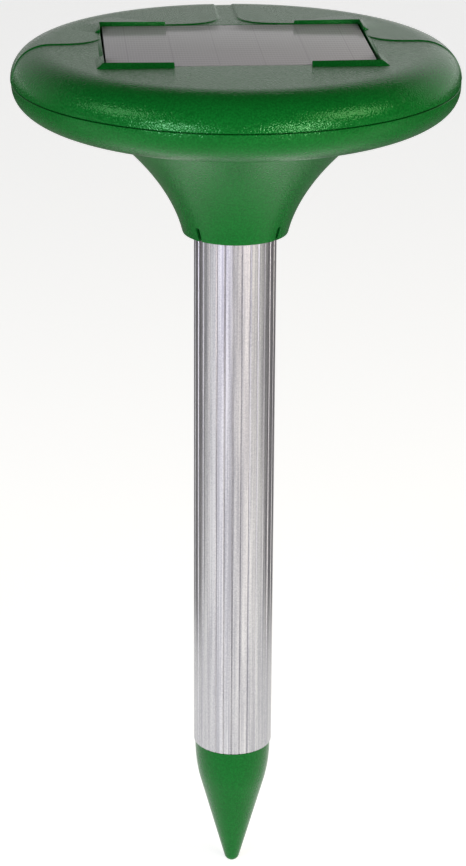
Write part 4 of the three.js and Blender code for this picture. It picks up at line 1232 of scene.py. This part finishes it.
def make_camera():
    data = bpy.data.cameras.new("camera")
    data.lens, data.sensor_width, data.sensor_fit = FOCAL_LENGTH, SENSOR, "AUTO"
    data.clip_start, data.clip_end = 0.01, 100
    camera = bpy.data.objects.new("camera", data)
    scene.collection.objects.link(camera)
    turn = math.radians(CAMERA_AZIMUTH)
    back, right = Vector((math.sin(turn), -math.cos(turn), 0)), Vector((math.cos(turn), math.sin(turn), 0))
    spot = back * CAMERA_DISTANCE + right * CAMERA_ASIDE + Vector((0, 0, CAMERA_HEIGHT))
    camera.location = spot * MM
    facing = Matrix.Rotation(turn, 4, "Z") @ Matrix.Rotation(math.radians(90 - CAMERA_PITCH), 4, "X")
    camera.rotation_euler = (facing @ Matrix.Rotation(math.radians(CAMERA_ROLL), 4, "Z")).to_euler()
    scene.camera = camera
    return camera


camera = make_camera()
print("camera at", [round(x, 3) for x in camera.location])

# %% [markdown]
# The floor is a sheet of white acrylic, lit from below as on a product table. It bounces
# light up on to the neck and the tube. The glow fades towards the camera, which keeps the
# front of the neck from going pale.

# %% Floor
FLOOR_GLOW, FRONT_GLOW = 0.7, 0.06
GLOW_FRONT, GLOW_BACK = -0.55, -0.2
FLOOR_HALF = 6000


def make_floor():
    material, tree, shader = new_finish("white_acrylic_floor", "#d6d6d6", 0.6)
    place = add(tree, "ShaderNodeTexCoord").outputs["Object"]
    depth = add(tree, "ShaderNodeSeparateXYZ", {"Vector": place}).outputs["Y"]
    fading = {"Value": depth, "From Min": GLOW_FRONT, "From Max": GLOW_BACK}
    glow = add(tree, "ShaderNodeMapRange", {**fading, "To Min": FRONT_GLOW, "To Max": FLOOR_GLOW})
    shader.inputs["Specular IOR Level"].default_value = 0.1
    shader.inputs["Emission Color"].default_value = linear("#ffffff")
    tree.links.new(glow.outputs["Result"], shader.inputs["Emission Strength"])
    around = ((-1, -1), (1, -1), (1, 1), (-1, 1))
    corners = [(x * FLOOR_HALF, y * FLOOR_HALF, 0) for x, y in around]
    floor = solid("floor", corners, [[0, 1, 2, 3]])
    floor.data.materials.append(material)


make_floor()
print("floor glow", FLOOR_GLOW)

# %% [markdown]
# The room is dark, with a pale backdrop low down behind the object. The flat top and the
# panel mirror that backdrop, which gives them their sheen, and the rim turns away from it and
# stays deep green. The backdrop is brighter to the right. The ranges are parts of a direction
# of length one, so 0.44 up is about 26 degrees above the horizon.

# %% Room
ROOM_DARK = 0.04
BACKDROP_LEFT, BACKDROP_RIGHT = 0.46, 0.9
BACKDROP_TOP = (0.44, 0.64)
BACKDROP_SIDE = (0.1, 0.6)
BACKDROP_SPREAD = (-0.2, 0.3)


def make_room():
    """Bright low down behind the object, where the backdrop hangs, and dark everywhere else."""
    world = bpy.data.worlds.new("studio_room")
    world.use_nodes = True
    tree = world.node_tree
    direction = add(tree, "ShaderNodeTexCoord").outputs["Generated"]
    parts = add(tree, "ShaderNodeSeparateXYZ", {0: direction})
    rising = {"Value": parts.outputs["Z"], "From Min": BACKDROP_TOP[0], "From Max": BACKDROP_TOP[1]}
    low = add(
        tree,
        "ShaderNodeMapRange",
        {**rising, "To Min": 1.0, "To Max": 0.0},
        interpolation_type="SMOOTHSTEP",
    )
    beyond = {"Value": parts.outputs["Y"], "From Min": BACKDROP_SIDE[0], "From Max": BACKDROP_SIDE[1]}
    behind = add(
        tree,
        "ShaderNodeMapRange",
        {**beyond, "To Min": 0.0, "To Max": 1.0},
        interpolation_type="SMOOTHSTEP",
    )
    both = {0: low.outputs["Result"], 1: behind.outputs["Result"]}
    backdrop = add(tree, "ShaderNodeMath", both, operation="MULTIPLY")
    side = {"Value": parts.outputs["X"], "From Min": BACKDROP_SPREAD[0], "From Max": BACKDROP_SPREAD[1]}
    shades = {"To Min": BACKDROP_LEFT, "To Max": BACKDROP_RIGHT}
    across = add(tree, "ShaderNodeMapRange", {**side, **shades})
    level = add(
        tree,
        "ShaderNodeMapRange",
        {"Value": backdrop.outputs[0], "To Min": ROOM_DARK, "To Max": across.outputs["Result"]},
    )
    tree.links.new(level.outputs["Result"], tree.nodes["Background"].inputs["Strength"])
    tree.nodes["Background"].inputs["Color"].default_value = (1, 1, 1, 1)
    scene.world = world


make_room()
print("room made")

# %% [markdown]
# Two low strips either side of the camera make the compact highlights on the rim, and two
# larger softboxes further round and higher up make the broad glow beside them. A row of the
# table gives a light's angle from the camera, its height as an angle, its size in
# millimetres, its power in watts and its colour. The camera never sees the lights.

# %% Softboxes
BOX_DISTANCE = 1200
SOFTBOXES = [
    ("strip_left", -30, 0, (440, 140), 7.6, "#f0ecff"),
    ("strip_right", 31, 0, (440, 140), 7.2, "#fff4f0"),
    ("softbox_left", -62, 25, (600, 480), 5.0, "#fbfff4"),
    ("softbox_right", 60, 25, (600, 480), 7.6, "#fffae0"),
]


def facing_object(angle, distance, height):
    """A place round the object, by its angle from the camera, and the turn that faces it."""
    turn = math.radians(CAMERA_AZIMUTH + angle)
    spot = Vector((math.sin(turn) * distance, -math.cos(turn) * distance, height)) * MM
    towards = Vector((0, 0, PARTING * MM)) - spot
    return spot, towards.to_track_quat("-Z", "Y").to_euler()


for name, angle, elevation, size, power, colour in SOFTBOXES:
    lamp = bpy.data.lights.new(name, "AREA")
    lamp.shape = "RECTANGLE"
    lamp.size, lamp.size_y = (side * MM for side in size)
    lamp.energy = power
    lamp.color = linear(colour)[:3]
    softbox = bpy.data.objects.new(name, lamp)
    scene.collection.objects.link(softbox)
    rise = BOX_DISTANCE * math.tan(math.radians(elevation))
    softbox.location, softbox.rotation_euler = facing_object(angle, BOX_DISTANCE, PARTING + rise)
    softbox.visible_camera = False
print("softboxes:", len(SOFTBOXES))

# %% [markdown]
# A bright metal tube shows its shape only when something dark stands beside it to be
# mirrored. Two cards run from beside the object to behind it and shade the edges of the
# tube. They are grey at the foot and nearly black at the head, they cast no shadow, and only
# reflections see them.

# %% Cards
CARD_HEIGHT = 300
CARD_LIFT = 2
CARD_FRONT, CARD_BACK = (330, -40), (45, 270)
CARD_FOOT, CARD_HEAD = "#707070", "#1c1c1c"
CARD_SHADE_LOW, CARD_SHADE_HIGH = 0.2, 0.28


def make_card(name, side):
    """A card that stands from beside the object to behind it, on the side given as -1 or 1."""
    material, tree, shader = new_finish(name, CARD_HEAD, 0.9)
    place = add(tree, "ShaderNodeTexCoord").outputs["Object"]
    height = add(tree, "ShaderNodeSeparateXYZ", {"Vector": place}).outputs["Z"]
    rising = {"Value": height, "From Min": CARD_SHADE_LOW, "From Max": CARD_SHADE_HIGH}
    rise = add(tree, "ShaderNodeMapRange", rising)
    shade = add(
        tree,
        "ShaderNodeMix",
        {0: rise.outputs["Result"], 6: linear(CARD_FOOT), 7: linear(CARD_HEAD)},
        data_type="RGBA",
    )
    tree.links.new(shade.outputs[2], shader.inputs["Base Color"])
    turn = Matrix.Rotation(math.radians(CAMERA_AZIMUTH), 3, "Z")
    foot = [turn @ Vector((side * x, y, CARD_LIFT)) for x, y in (CARD_FRONT, CARD_BACK)]
    head = [point + Vector((0, 0, CARD_HEIGHT)) for point in foot[::-1]]
    card = solid(name, foot + head, [[0, 1, 2, 3]])
    card.data.materials.append(material)
    card.visible_camera = card.visible_shadow = card.visible_diffuse = False


make_card("card_left", -1)
make_card("card_right", 1)
print("cards", CARD_HEIGHT, "mm tall")
